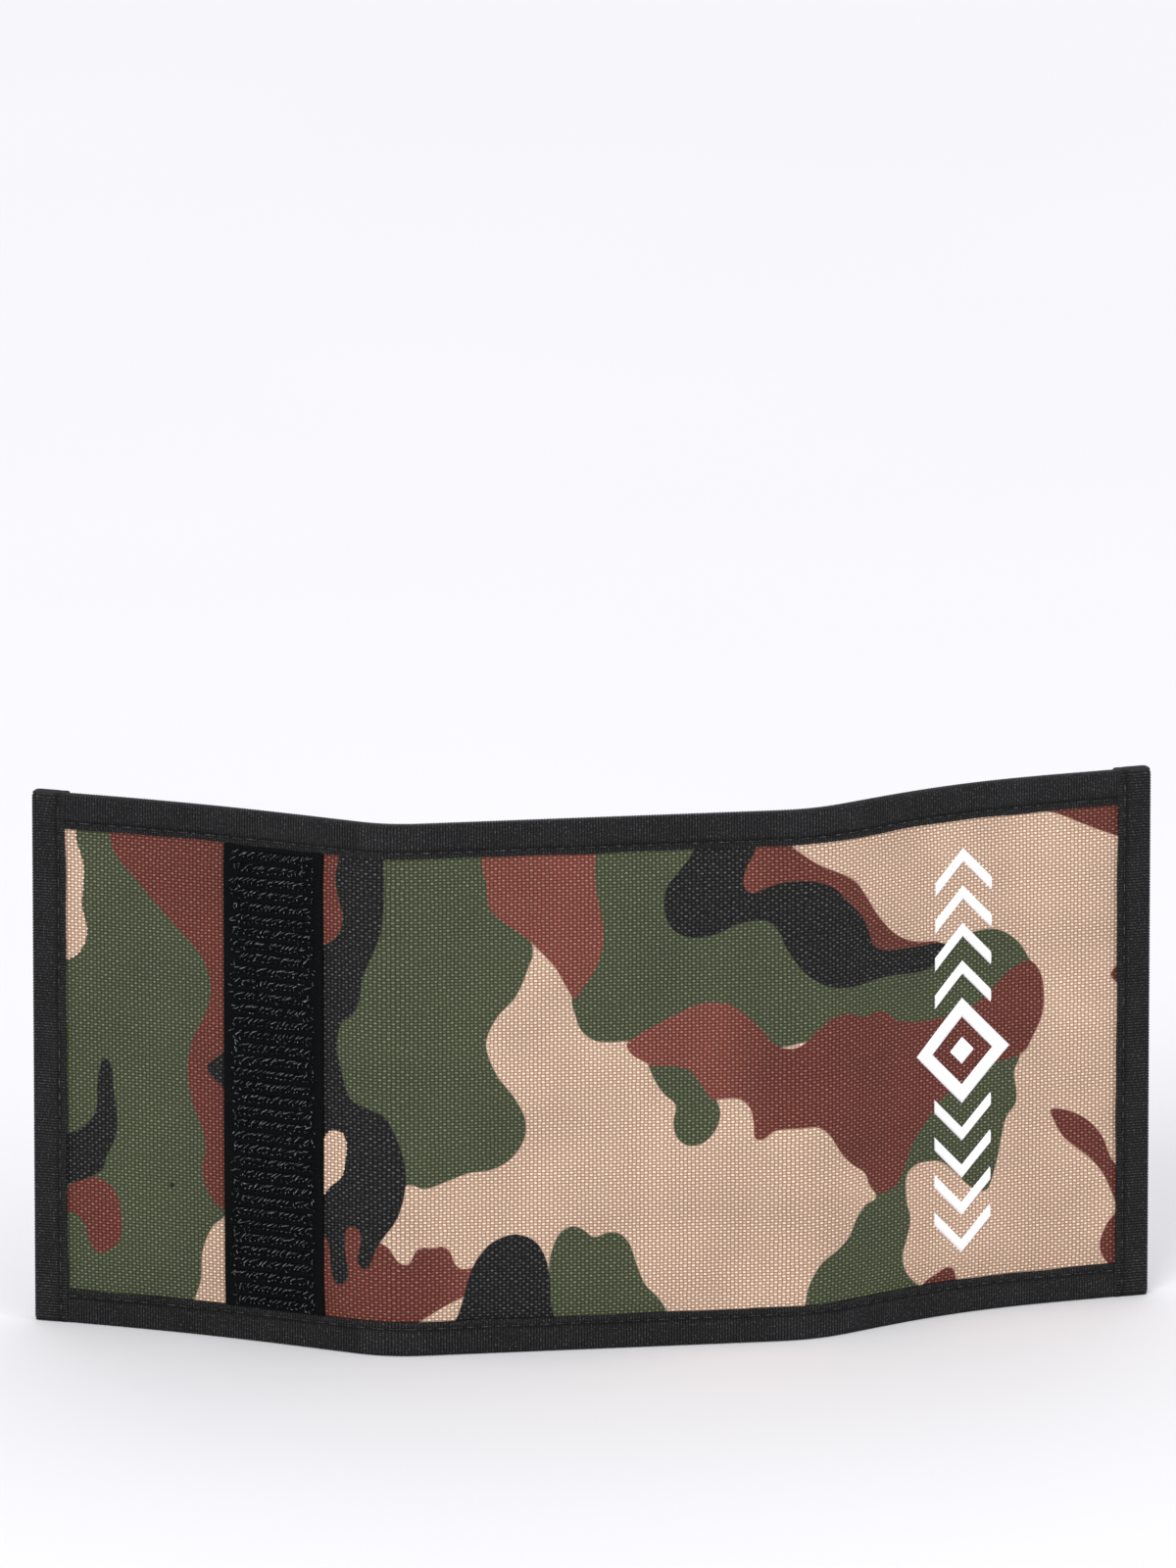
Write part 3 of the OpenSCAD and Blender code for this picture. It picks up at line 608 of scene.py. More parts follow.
# Outlines on the opened wallet, as (s, z) in mm. Later inks cover earlier ones, and where
# "bare" lies the tan ground shows through them all.
PRINT = {
    "green": [
        blob((-20, 125), (-20, 118), (-16.2, 96.5), (-17, 91), (-20, 84), (-24.5, 79), (-26.8, 73),
             (-24.5, 66), (-20.5, 60.5), (-17.8, 55), (-18.2, 50), (-21.5, 45.5), (-26, 43.3),
             (-31, 42.8), (-36, 41), (-41, 39.5), (-45, 40.5), (-50, 36), (-60, 34), (-66, 30),
             (-88, 30), (-90, 28.5), (-93, 26), (-95.5, 20), (-96, 13), (-98, 7), (-98, 2),
             (-140, 2), (-140, 125)),
        blob((-13, 5), (-12.5, 12), (-12.5, 18), (-12, 23), (-10, 27.8), (-7, 29.4), (-4.5, 28.5),
             (-2, 26.6), (1, 27.6), (4, 27.2), (6.3, 24.5), (7.8, 20), (9.8, 15), (13, 11.5),
             (15.5, 7), (16, 4), (0, 2)),
        blob((-8, 125), (-3, 100), (-7, 84.5), (-6.3, 79), (-5, 75.5), (-2, 73), (2, 72.4),
             (6, 72.4), (12, 70), (30, 68), (60, 72), (85, 68), (100, 72), (108, 79),
             (106.5, 82.5), (104, 86.5), (100, 89.6), (96, 90.6), (91, 90), (86, 88.5), (80, 87),
             (70, 88), (60, 92), (50, 97), (45, 104), (34, 110), (28, 118), (24, 125)),
        blob((10.5, 68), (11.5, 64), (14, 59.8), (16.8, 57), (16.3, 53), (17, 49.5), (19.5, 47.3),
             (23, 47.6), (26, 50.5), (27.2, 54.5), (26.2, 58), (24, 62), (20, 67), (14, 69)),
        blob((48, 3), (47.2, 9), (48.2, 13.5), (51, 17.8), (55, 20.3), (58.2, 23), (60.3, 27),
             (63, 30), (66, 31.3), (64, 38), (80, 52), (95, 62), (104, 62), (104.3, 59.5),
             (102.9, 56), (103.4, 52), (103.3, 48.5), (101, 45.5), (99.8, 41), (98.8, 36),
             (97.5, 31.5), (96.3, 28.8), (94, 28.6), (91, 30.5), (87.5, 34), (84, 36.8),
             (80, 37.4), (76.5, 36.9), (74.4, 34.5), (74.5, 29), (75.6, 24.5), (74.6, 20),
             (73.4, 16), (74.6, 12), (77, 9.3), (79.5, 7), (80, 3)),
        blob((122, 5), (125, 7.3), (128, 8), (131, 6)),
    ],
    "brown": [
        blob((-118.5, 125), (-118, 117), (-116.5, 112), (-112, 107), (-107, 101.5), (-101, 95.5),
             (-96.5, 91), (-94, 86.5), (-93.2, 82), (-94.5, 76.5), (-97.3, 71), (-98.8, 65),
             (-98.8, 60), (-97.5, 54), (-95.3, 49), (-94.6, 44), (-95.5, 40), (-94.5, 35),
             (-92, 31.5), (-88, 29), (-84, 24), (-80, 30), (-82, 60), (-78, 90), (-66, 95),
             (-63, 96.5), (-60.8, 99), (-59.8, 103), (-61, 107), (-61.8, 112), (-60.5, 118),
             (-60, 125)),
        blob((-70, 24), (-66, 26), (-62, 30), (-57, 31), (-53, 28), (-51, 26.8), (-49, 25.5),
             (-47.5, 23), (-46, 21.8), (-44.5, 22), (-43.3, 24.5), (-42, 25.7), (-39, 25.5),
             (-37, 25.8), (-35.2, 24.5), (-34, 21.5), (-32.3, 20.2), (-30, 20.3), (-28, 17),
             (-31.5, 14), (-35, 12.3), (-39, 10), (-42.5, 7.8), (-46, 5.5), (-50, 2), (-70, 2)),
        blob((-28.5, 125), (-28, 117), (-26.8, 110), (-26, 105), (-23, 101.8), (-18, 98), (-15, 95),
             (-11, 90.5), (-8.5, 86), (-6.5, 83), (-4.5, 85.5), (-1.5, 90), (0, 95), (0, 100),
             (-1, 106), (-1.8, 111), (-1.5, 117), (-1, 125)),
        blob((5.5, 72), (8, 73.8), (12, 76), (17, 78.5), (21, 80.3), (25, 81), (29.5, 80.2),
             (33.5, 77.3), (37, 73.5), (40, 70.3), (43, 69.2), (46, 69.8), (50, 73), (54, 75.5),
             (58, 75.8), (62, 74.5), (66, 75.2), (69, 74.3), (72, 72), (78, 71), (85, 71),
             (90, 71.5), (94, 73.8), (98, 77), (102, 80.5), (106.5, 82), (109.3, 79), (110.2, 74),
             (109.8, 69), (107.5, 64), (104.5, 60), (95, 58), (88, 54), (84, 51.5), (80, 47),
             (76, 42), (74, 37), (72, 33.5), (69, 32), (66, 32), (64, 34.5), (62.5, 37.5),
             (59, 40), (56, 43), (53, 47.5), (50, 50), (46, 50.2), (40, 50), (37, 48), (35, 48.7),
             (34.8, 52), (34, 55.5), (31.5, 57.8), (28, 58), (25.5, 57.8), (24, 59.5), (22, 62.5),
             (20, 65), (16, 66.3), (12, 66.3), (9, 67.8), (6.5, 69.5)),
        blob((30, 125), (30, 108), (40, 104), (55, 100), (62, 90), (75, 86), (84, 87), (83, 89.2),
             (78, 89.8), (74, 91), (70, 93.7), (66, 98.2), (62.8, 103), (59.5, 107), (54.5, 109.8),
             (50, 112), (46, 114.8), (43, 118), (42, 125)),
        blob((78, 4), (79.5, 8.3), (83, 10.3), (86, 11.5), (88, 10), (88, 4)),
        blob((109, 118), (114, 115.8), (120, 113), (125, 110.8), (130, 109), (136, 108), (136, 125),
             (108, 125)),
        blob((112, 46.3), (117, 45.3), (121.5, 42.5), (124.8, 38.5), (126.8, 33.5), (130, 28),
             (130, 18), (127.5, 24), (125, 29.5), (122, 33.3), (118.5, 36.3), (115, 39.5),
             (113, 43)),
        blob((130, 20), (127, 19), (124.8, 15.5), (124.2, 12), (126, 8.5), (130, 6)),
        blob((130, 80), (127.5, 78.5), (126.5, 76.5), (130, 74)),
        blob((-129.5, 27), (-129, 31), (-126, 34.3), (-121, 35), (-117.5, 33), (-115.8, 29.5),
             (-115.3, 23), (-117, 19), (-121, 17.3), (-123.3, 20), (-124.5, 24), (-127, 26)),
    ],
    "black": [
        blob((-60.6, 125), (-61, 117), (-61.8, 112), (-61, 107), (-59.9, 103), (-60.8, 99),
             (-63, 96.5), (-66.5, 94.5), (-70, 90), (-72, 70), (-70, 40), (-66.5, 28),
             (-64.5, 27), (-63.5, 24), (-63.2, 20), (-62.3, 16.5), (-60.3, 16), (-58.8, 18),
             (-59, 21), (-59.6, 26), (-59, 29.5), (-57, 30), (-55.5, 28), (-56, 25), (-56.5, 22),
             (-55, 20.2), (-53.5, 21), (-52.5, 24), (-51, 27), (-47.5, 32), (-45.8, 37),
             (-45.2, 42), (-45.8, 47), (-47.5, 52), (-50, 56.5), (-53.5, 58), (-58, 60),
             (-59.5, 63), (-60.5, 67), (-61.5, 72), (-60.5, 77.5), (-58, 79.5), (-56, 83),
             (-55, 89), (-52.5, 95), (-50.5, 101), (-50, 110), (-50.2, 117), (-50, 125)),
        blob((-119.5, 64), (-117.5, 61.5), (-117.2, 57), (-116.3, 50), (-116.8, 45), (-119, 40),
             (-120, 37), (-124, 34.5), (-130, 32.5), (-136, 32), (-136, 43), (-130, 44.5),
             (-126, 46), (-122.5, 49), (-121.3, 52), (-121.2, 57), (-120.5, 61)),
        blob((-35, 5), (-33.5, 9), (-32.3, 13), (-31, 18), (-29, 22.5), (-25.5, 26.3), (-20.5, 28),
             (-16, 26.5), (-13.5, 23), (-12.2, 18), (-12, 12), (-11.8, 5), (-23, 2)),
        blob((-89, 67.5), (-92, 66), (-94.2, 64), (-93.3, 62), (-91, 60), (-88.5, 58.5)),
        blob((-103.8, 35), (-103, 35.8), (-102.2, 35), (-103, 34.2)),
        blob((22, 125), (21, 117), (17.5, 112), (14.8, 108.5), (14, 104), (15.3, 99.5), (18.5, 96.8),
             (22.5, 96.2), (26.5, 97), (30, 98.6), (34, 99.6), (38, 99.4), (40.5, 97), (42.5, 92.5),
             (46, 87.5), (49.5, 84.5), (54, 82.4), (60, 81.9), (65, 82.6), (71, 82.9), (77, 82.6),
             (81, 83.3), (84.5, 86), (85.8, 87.8), (83, 88.9), (78, 88.8), (72, 88.9), (68, 89.3),
             (65, 91), (63.8, 94), (62, 98), (58, 102), (54, 106), (50, 107.8), (47, 108.5),
             (42, 108.5), (38, 107.5), (34.5, 106.2), (32.5, 108), (33, 112), (35.5, 117),
             (36, 125)),
    ],
    "bare": [
        blob((-140, 125), (-126.8, 120), (-126, 115), (-124.2, 109), (-124.2, 104), (-124.5, 99),
             (-123.3, 93.5), (-124.6, 89), (-128.5, 86), (-140, 84)),
        blob((-66, 36.5), (-63, 39), (-60.3, 41.5), (-59.3, 46), (-59.2, 50), (-60.5, 52),
             (-63, 52.2), (-65, 50), (-66.5, 46)),
    ],
}

# ---- The shell: outer cloth, interlining, lining and divider ----

OUTER_GRID, INNER_GRID = 1.0, 2.5


def cloth_piece(name, span, rise, front, back, size, look, body,
                replaces=(), keep=None, printed=False):
    """A sheet of cloth between two s and two z. Strips narrower than 10 mm, and frames that
    are mostly opening, aren't declared. The print is measured along the outer face, which
    goes the longer way round a fold."""
    s_lines = span if len(span) > 2 else steps(*span, size)
    z_lines = rise if len(rise) > 2 else steps(*rise, size)
    flat, faces = slab(s_lines, z_lines, front, back, keep)
    values = None
    if printed:
        turned = np.interp(flat[:, 0], LINE_S, LINE_TURN)
        outer_s = flat[:, 0] + panel_t * turned
        values = {key: distance(lines, outer_s, flat[:, 2]) for key, lines in PRINT.items()}
    made = piece(name, flat, faces, look, body, replaces, values)
    return made


def nodes_for(stretch, layer):
    """The CAD node that a stretch of this layer stands for, if any."""
    node = f"{STANDS_FOR.get(stretch)}_{layer}"
    return (node,) if node in frame["nodes"] else ()


for stretch, (start, end) in STRETCHES.items():
    start = max(start, left_tip + edge_inset)
    end = min(end, right_tip - edge_inset)
    whole = (cloth_low[2], cloth_high[2])
    cloth_piece(f"{stretch}_outer_cloth", (start, end), whole, cloth_low[1], cloth_high[1],
                OUTER_GRID, OXFORD, stretch, nodes_for(stretch, "cloth"),
                printed=True)
    cloth_piece(f"{stretch}_lining_cloth", (start, end), whole, lining_low[1], lining_high[1],
                INNER_GRID, LINING, stretch, nodes_for(stretch, "lining"))
    cloth_piece(f"{stretch}_divider_cloth", (start, end), (divider_low[2], divider_high[2]),
                divider_low[1], divider_high[1], INNER_GRID,
                LINING, stretch, nodes_for(stretch, "divider"))
    if stretch in PANELS:
        cloth_piece(f"{stretch}_interlining", (start, end), whole, foam_low[1], foam_high[1],
                    INNER_GRID, FELT, stretch, nodes_for(stretch, "foam"))

# ---- Bindings ----

RIB = 0.65
RIB_RELIEF = 0.18
STITCH_PITCH = 3.4
STITCH_LINE = 1.5
INNER_STACKS = {
    "window_pocket": "left_wing",
    "coin_pocket_front": "centre",
    "slip_pocket": "right_wing",
}


def pocket_stack(s):
    """How far the pockets stand in from the divider, which the bottom tape has to wrap: each
    panel's own stack, falling to nothing at the folds."""
    total = np.zeros_like(s)
    for node, panel in INNER_STACKS.items():
        low, high = flat_box(node, panel)
        lift = ramp((s - low[0]) / 2 + 1) * ramp((high[0] - s) / 2 + 1)
        total = np.maximum(total, (high[1] - panel_t) * lift)
    return total


def tape_loops(along, low, high, reach, pinch=0.0):
    """Tape folded over an edge: at each station along it a U of tape, open away from the edge,
    round layers from depth low to depth high. The outside of the U carries the tape's cross
    ribs, a cosine along the tape, and a dip where the stitching pulls it in. pinch, from 0 to 1,
    closes the U's two inner faces on each other. Gives (station, point, [along, depth, distance
    from the edge]), the tape's painted rib shading at each point, darkened by painted shade in
    the stitching's crease, and the way round the tape."""
    low = np.broadcast_to(low, along.shape)[:, None] - binding_t
    high = np.broadcast_to(high, along.shape)[:, None] + binding_t
    corner = np.minimum(1.0, (high - low) / 2 - 0.01)
    side = np.linspace(1, 0, 9)[None, :]
    turn = np.linspace(0, math.pi / 2, 6)[None, 1:]
    up = corner + (reach - corner) * side
    dip = 0.34 * np.exp(-(((up - (reach - STITCH_LINE)) / 0.38) ** 2))
    edge = 0.28 * np.exp(-(((up - reach) / 0.25) ** 2))
    depth = np.concatenate([
        low + dip + edge,
        low + corner * (1 - np.cos(turn)),
        high - corner * (1 - np.sin(turn[:, :-1])),
        (high - dip - edge)[:, ::-1],
    ], 1)
    away = np.concatenate([
        up,
        corner * (1 - np.sin(turn)),
        corner * (1 - np.cos(turn[:, :-1])),
        up[:, ::-1],
    ], 1)
    rib = 0.5 + 0.5 * np.cos(2 * math.pi * along / RIB)[:, None]
    # How much painted shade lies along the crease where the stitching pulls the tape in
    crease_shade = np.exp(-(((away - (reach - STITCH_LINE)) / 0.4) ** 2))
    out_depth = np.gradient(away, axis=1)
    out_away = -np.gradient(depth, axis=1)
    length = np.hypot(out_depth, out_away) + 1e-9
    depth = depth + RIB_RELIEF * (rib - 0.5) * out_depth / length
    away = away + RIB_RELIEF * (rib - 0.5) * out_away / length
    way = np.cumsum(np.hypot(np.gradient(depth, axis=1), np.gradient(away, axis=1)), 1)
    inner_low, inner_high = low + binding_t, high - binding_t
    inside_depth = np.concatenate([inner_high, inner_high, inner_low, inner_low], 1)
    pinch = np.broadcast_to(pinch, along.shape)[:, None]
    inside_depth = inside_depth * (1 - pinch) + (low + high) / 2 * pinch
    inside_away = np.broadcast_to([reach, edge_inset, edge_inset, reach], (len(along), 4))
    depth = np.concatenate([depth, inside_depth], 1)
    away = np.concatenate([away, inside_away], 1)
    # The rib values feed the tape's colour: painted light on the rib tops, painted shade between them, and
    # painted shade along the stitching's crease
    ribs = np.concatenate([rib * (1 - crease_shade), np.zeros((len(along), 4))], 1)
    way = np.concatenate([way, np.zeros((len(along), 4))], 1)
    return np.stack([np.broadcast_to(along[:, None], depth.shape), depth, away], -1), ribs, way


def wobble(along, seed):
    """A hand-guided edge's slow wander, up to about a fifth of a millimetre."""
    return 0.1 * np.sin(along / 7.3 + seed) + 0.07 * np.sin(along / 3.1 + 2.3 * seed)


def binding(name, along, low, high, reach, place, body, replaces, pinch=0.0):
    """A length of binding tape. place turns (along, depth, distance from the edge) to s,
    depth and z."""
    loops, ribs, way = tape_loops(along, low, high, reach, pinch)
    loops[..., 2] += wobble(loops[..., 0], len(name)) * loops[..., 2] / reach
    flat, faces = loft(place(loops))
    # The rib values carry the tape's painted rib shading and painted crease shade
    made = piece(name, flat, faces, GROSGRAIN, body, replaces, {"rib": ribs})
    tape = made.data.attributes.new("tape", "FLOAT_VECTOR", "POINT")
    measure = np.stack([loops[..., 0], way, np.zeros_like(way)], -1)
    tape.data.foreach_set("vector", measure.astype(np.float32).ravel())
    return made


def from_bottom(loops):
    """Distance from the edge is the height above the wallet's bottom."""
    return loops


def from_top(loops):
    """Distance from the edge, measured down from the wallet's top."""
    return np.stack([loops[..., 0], loops[..., 1], height - loops[..., 2]], -1)


def from_divider_top(loops):
    """Distance from the edge, measured down from the divider's top."""
    return np.stack([loops[..., 0], loops[..., 1], divider_top - loops[..., 2]], -1)


def from_left_tip(loops):
    """Along is the height, and the edge is the left wing's."""
    return np.stack([left_tip + loops[..., 2], loops[..., 1], loops[..., 0]], -1)


def from_right_tip(loops):
    """Along is the height, and the edge is the right wing's."""
    return np.stack([right_tip - loops[..., 2], loops[..., 1], loops[..., 0]], -1)


UNDER_END = 1
for stretch, (start, end) in STRETCHES.items():
    start = max(start, left_tip + binding_w - UNDER_END)
    end = min(end, right_tip - binding_w + UNDER_END)
    along = steps(start, end, RIB / 4)
    binding(f"{stretch}_top_tape", along, 0, shell_t, binding_w, from_top,
            stretch, nodes_for(stretch, "top_binding"))
    binding(f"{stretch}_bottom_tape", along, 0, panel_t + pocket_stack(along), binding_w,
            from_bottom, stretch, nodes_for(stretch, "bottom_binding"))
    binding(f"{stretch}_divider_tape", along, divider_low[1], panel_t, divider_tape_w,
            from_divider_top, stretch, nodes_for(stretch, "divider_binding"))

# The two end tapes lie over the others, and are pinched shut at their top and bottom
END_LIFT = 0.35
PINCH_LENGTH = 1.2
full = steps(0, height, RIB / 4)
closing = 1 - ramp(full / PINCH_LENGTH) * ramp((height - full) / PINCH_LENGTH)
lift = END_LIFT * (1 - 2 * closing)
for side, place in (("left", from_left_tip), ("right", from_right_tip)):
    binding(f"{side}_end_tape", full, -lift, panel_t + lift, binding_w, place,
            f"{side}_wing", (f"{side}_end_binding",), pinch=closing)

# ---- Stitching ----


STITCH_TAPER = np.array([0.35, 0.9, 1, 0.9, 0.35])
STITCH_GAP = 0.8


def stitch_paths(starts, ends):
    """Each stitch as a straight path, with a point for each step of its taper."""
    t = np.linspace(0, 1, len(STITCH_TAPER))[None, :, None]
    return starts[:, None] + (ends - starts)[:, None] * t


def seam(along, depth, z, pitch=STITCH_PITCH, gap=STITCH_GAP):
    """Lockstitches in a row along s at one height, from one s to the other. depth may follow s."""
    count = max(1, int(round((along[1] - along[0]) / pitch)))
    first = along[0] + (along[1] - along[0]) * np.arange(count) / count
    length = (along[1] - along[0]) / count - gap
    level = np.broadcast_to(depth(first) if callable(depth) else depth, first.shape)
    starts = np.stack([first, level, np.full(count, z)], -1)
    return starts, starts + [length, 0, 0]


def seam_up(s, depth, rise, pitch=STITCH_PITCH, gap=STITCH_GAP):
    """Lockstitches in a row up z at one s."""
    count = max(1, int(round((rise[1] - rise[0]) / pitch)))
    first = rise[0] + (rise[1] - rise[0]) * np.arange(count) / count
    length = (rise[1] - rise[0]) / count - gap
    starts = np.stack([np.full(count, s), np.full(count, depth), first], -1)
    return starts, starts + [0, 0, length]


def stitching(name, rows, body, radius=0.2):
    """Rows of stitches on one body as one piece, each stitch thinner at its ends."""
    starts = np.concatenate([row[0] for row in rows])
    ends = np.concatenate([row[1] for row in rows])
    flat, faces = filaments(stitch_paths(starts, ends), radius * STITCH_TAPER, 6)
    return piece(name, flat, faces, THREAD, body)


on_tape = -binding_t + 0.1
line_low = binding_w - STITCH_LINE
line_high = height - line_low
divider_line = divider_top - divider_tape_w + 1.2
end_lines = {"left_wing": left_tip + line_low, "right_wing": right_tip - line_low}
for stretch, (start, end) in STRETCHES.items():
    start = max(start, left_tip + binding_w)
    end = min(end, right_tip - binding_w)
    rows = [
        seam((start, end), on_tape, line_low),
        seam((start, end), on_tape, line_high),
        seam((start, end), shell_t - on_tape, line_high),
        seam((start, end), lambda s: panel_t + pocket_stack(s) - on_tape, line_low),
        seam((start, end), panel_t - on_tape, divider_line),
    ]
    if stretch in end_lines:
        for depth in (on_tape - END_LIFT, panel_t - on_tape + END_LIFT):
            rows.append(seam_up(end_lines[stretch], depth, (2, height - 2)))
    stitching(f"{stretch}_lockstitch", rows, stretch)

# ---- Hook and loop ----

rng = np.random.default_rng(12)
HOOK_ROW, HOOK_COLUMN = 1.5, 1.15
LOOPS = 3600
SELVEDGE = 2.4
SELVEDGE_RIB = 0.8
TAPE_T = 0.9
LOOP_UP = (0.3, 0.2, 0.9)


def touch_ground(node, panel, base, raised):
    """The ground of a touch tape, as one sheet that stands raised from its base: edges
    with fine ribs, a small valley along each, and the lower, rowed field that the hooks or loops
    stand on. Gives the tape's lowest and highest corner."""
    low, high = flat_box(node, panel)
    s_lines = steps(low[0], high[0], 0.5)
    z_lines = steps(low[2], high[2], 0.25)
    s, z = np.meshgrid(s_lines, z_lines, indexing="ij")
    inward = np.minimum(s - low[0], high[0] - s)
    ribs = 0.07 * np.cos(2 * math.pi * z / SELVEDGE_RIB)
    valley = 0.3 * np.exp(-(((inward - SELVEDGE) / 0.5) ** 2))
    field = ramp((inward - SELVEDGE) / 1.0)
    rows = 0.18 * field * np.cos(2 * math.pi * z / HOOK_ROW)
    edge = 0.3 * np.exp(-inward / 0.3)
    front = base + raised * (1 - 0.35 * field) + ribs * (1 - field) + rows
    front = front - np.sign(raised) * (valley + edge)
    flat, faces = slab(s_lines, z_lines, front, base)
    made = piece(f"{node}_ground", flat, faces, TAPE_GROUND, panel, (node,))
    return low, high


low, high = touch_ground("hook_tape", "left_wing", 0.0, -TAPE_T)
# Hooks stand in rows that lean to and fro by turns, and lose their order towards the sides
hook_s = np.arange(low[0] + SELVEDGE + 0.4, high[0] - SELVEDGE - 0.2, HOOK_COLUMN)
hook_z = np.arange(low[2] + 1.0, high[2] - 0.8, HOOK_ROW)
centres = np.stack(np.meshgrid(hook_s, hook_z, indexing="ij"), -1).reshape(-1, 2)
from_side = np.minimum(centres[:, 0] - hook_s[0], hook_s[-1] - centres[:, 0])
unruly = 0.1 + 0.2 * np.exp(-from_side / 1.5)
centres = centres + rng.normal(0, 1, centres.shape) * unruly[:, None]
row = np.tile(np.arange(len(hook_z)), len(hook_s))
lean = math.pi * (row % 2) + 0.6 + rng.normal(0, 4, len(centres)) * unruly
t = np.linspace(0, 1, 6)
size = rng.uniform(0.75, 1.15, len(centres))[:, None]
bend = (1 - np.cos(t * math.pi * 1.25))[None, :] * 0.42 * size
rise = np.sin(t * math.pi * 0.72)[None, :] * size
paths = np.stack([
    centres[:, :1] + bend * np.cos(lean)[:, None],
    np.broadcast_to(-0.45 - rise * 1.25, bend.shape),
    centres[:, 1:] + bend * np.sin(lean)[:, None],
], -1)
hook_radius = np.array([0.13, 0.13, 0.12, 0.12, 0.11, 0.08])
flat, faces = filaments(paths, hook_radius, 4, up=LOOP_UP)
piece("hook_field", flat, faces, HOOKS, "left_wing")

loop_base = flat_box("loop_tape", "right_wing")[0][1]
low, high = touch_ground("loop_tape", "right_wing", loop_base, TAPE_T)
# Loops stand anywhere in the field, each half an ellipse turned its own way
first_corner = [low[0] + SELVEDGE, low[2] + 0.5]
last_corner = [high[0] - SELVEDGE, high[2] - 0.5]
centres = rng.uniform(first_corner, last_corner, (LOOPS, 2))
lean = rng.uniform(0, 2 * math.pi, LOOPS)
size = rng.uniform(0.6, 1.1, LOOPS)[:, None]
t = np.linspace(-1, 1, 5)[None, :]
paths = np.stack([
    centres[:, :1] + t * 0.8 * size * np.cos(lean)[:, None],
    loop_base + TAPE_T - 0.15 + (1 - t * t) * 0.75 * size,
    centres[:, 1:] + t * 0.8 * size * np.sin(lean)[:, None],
], -1)
flat, faces = filaments(paths, 0.09, 3, up=LOOP_UP)
piece("loop_pile", flat, faces, PILE, "right_wing")

# ---- Stitched motif: a generic band of chevrons round a lozenge ----

low, high = flat_box("stitched_motif", "right_wing")
motif_s, motif_z = (low[0] + high[0]) / 2, (low[2] + high[2]) / 2
motif_half = (high[2] - low[2]) / 2
lozenge_half = (high[0] - low[0]) / 2
satin_w, chevron_half, chevrons = 3.2, 7.5, 4
pitch = (motif_half - lozenge_half) / chevrons
SATIN_PITCH = 0.42


def satin_bar(a, b, c, d, lift=0.6):
    """A block of satin stitch between the edge from a to b and the edge from c to d. Threads run
    from one edge to the other side by side, each a small ridge, over a padded crown."""
    a, b, c, d = (np.array(p, float) for p in (a, b, c, d))
    length = max(np.linalg.norm(b - a), np.linalg.norm(d - c))
    threads = max(3, int(round(length / SATIN_PITCH)))
    u = np.linspace(0, 1, threads * 4 + 1)[:, None, None]
    v = np.concatenate([np.linspace(0, 1, 9), [1, 0]])[None, :, None]
    place = (a + (b - a) * u) * (1 - v) + (c + (d - c) * u) * v
    ridge = np.abs(np.sin(u[..., 0] * threads * math.pi)) ** 0.6
    ragged = 0.05 * np.sin(17 * np.floor(u[..., 0] * threads) + a.sum())
    crown = np.sqrt(np.clip(1 - np.abs(2 * v[..., 0] - 1) ** 3, 0, 1))
    rise = crown * (lift * 0.62 + lift * 0.38 * ridge) + ragged * crown
    rise = np.where(np.arange(11) >= 9, -0.1, rise)
    return loft(np.stack([motif_s + place[..., 0], -rise, motif_z + place[..., 1]], -1))


bars = []
inner_half = lozenge_half - satin_w * math.sqrt(2)
for x in (1, -1):
    for y in (1, -1):
        bars.append(satin_bar((0, y * lozenge_half), (x * lozenge_half, 0),
                              (0, y * inner_half), (x * inner_half, 0)))
        for i in range(1, chevrons + 1):
            tip = y * (lozenge_half + i * pitch)
            foot = tip - y * chevron_half
            bars.append(satin_bar((0, tip), (x * chevron_half, foot), (0, tip - y * satin_w),
                                  (x * chevron_half, foot - y * satin_w)))
bars.append(satin_bar((-satin_w, 0), (0, satin_w), (0, -satin_w), (satin_w, 0)))
flat, faces = joined(*((points, facing_out(points, faces)) for points, faces in bars))
piece("stitched_motif_band", flat, faces, EMBROIDERY, "right_wing", ("stitched_motif",))

# ---- Pockets ----

HEM = 5.0
POCKET_GRID = 2.0
LAP = 3.0
FINE_PITCH = 2.8
FINE_THREAD = 0.16
ON_FACE = 0.08


def hemmed(z_lines, top, face, roll=0.3):
    """Depth of a pocket's front: a turned and stitched hem along its top edge stands prouder."""
    rise = roll * ramp((z_lines - (top - HEM)) / 0.8)
    round_off = 0.25 * np.exp(-(top - z_lines) / 0.3)
    return (face + rise - round_off)[None, :]


def lines_with(start, end, size, *stops):
    """Even steps from start to end that also stop at the given places."""
    return np.unique(np.round(np.concatenate([steps(start, end, size), np.array(stops, float)]), 4))


def up_to_hem(low, high, *stops):
    """Lines up a pocket, close together near its top, where the hem is."""
    return lines_with(low[2], high[2], POCKET_GRID, *stops, *np.arange(high[2] - 6, high[2], 0.4))


def inside(s_lines, z_lines, hole):
    """Which cells of a grid have their middle in a hole, given as two s and two z."""
    mid_s = (s_lines[1:] + s_lines[:-1]) / 2
    mid_z = (z_lines[1:] + z_lines[:-1]) / 2
    in_s = (mid_s > hole[0]) & (mid_s < hole[1])
    in_z = (mid_z > hole[2]) & (mid_z < hole[3])
    return in_s[:, None] & in_z[None, :]


for place in ("back", "front"):
    node, label = f"{place}_card_pocket", f"{place}_card_sleeve"
    low, high = flat_box(node, "left_wing")
    z_lines = up_to_hem(low, high)
    front = hemmed(z_lines, high[2], high[1], 0.12)
    cloth_piece(label, (low[0], high[0]), z_lines, front, low[1], POCKET_GRID,
                POCKET, "left_wing", (node,))
    rows = [seam((low[0] + 1, high[0] - 1), high[1] + 0.2, high[2] - HEM + 1)]
    stitching(f"{label}_stitching", rows, "left_wing", 0.14)

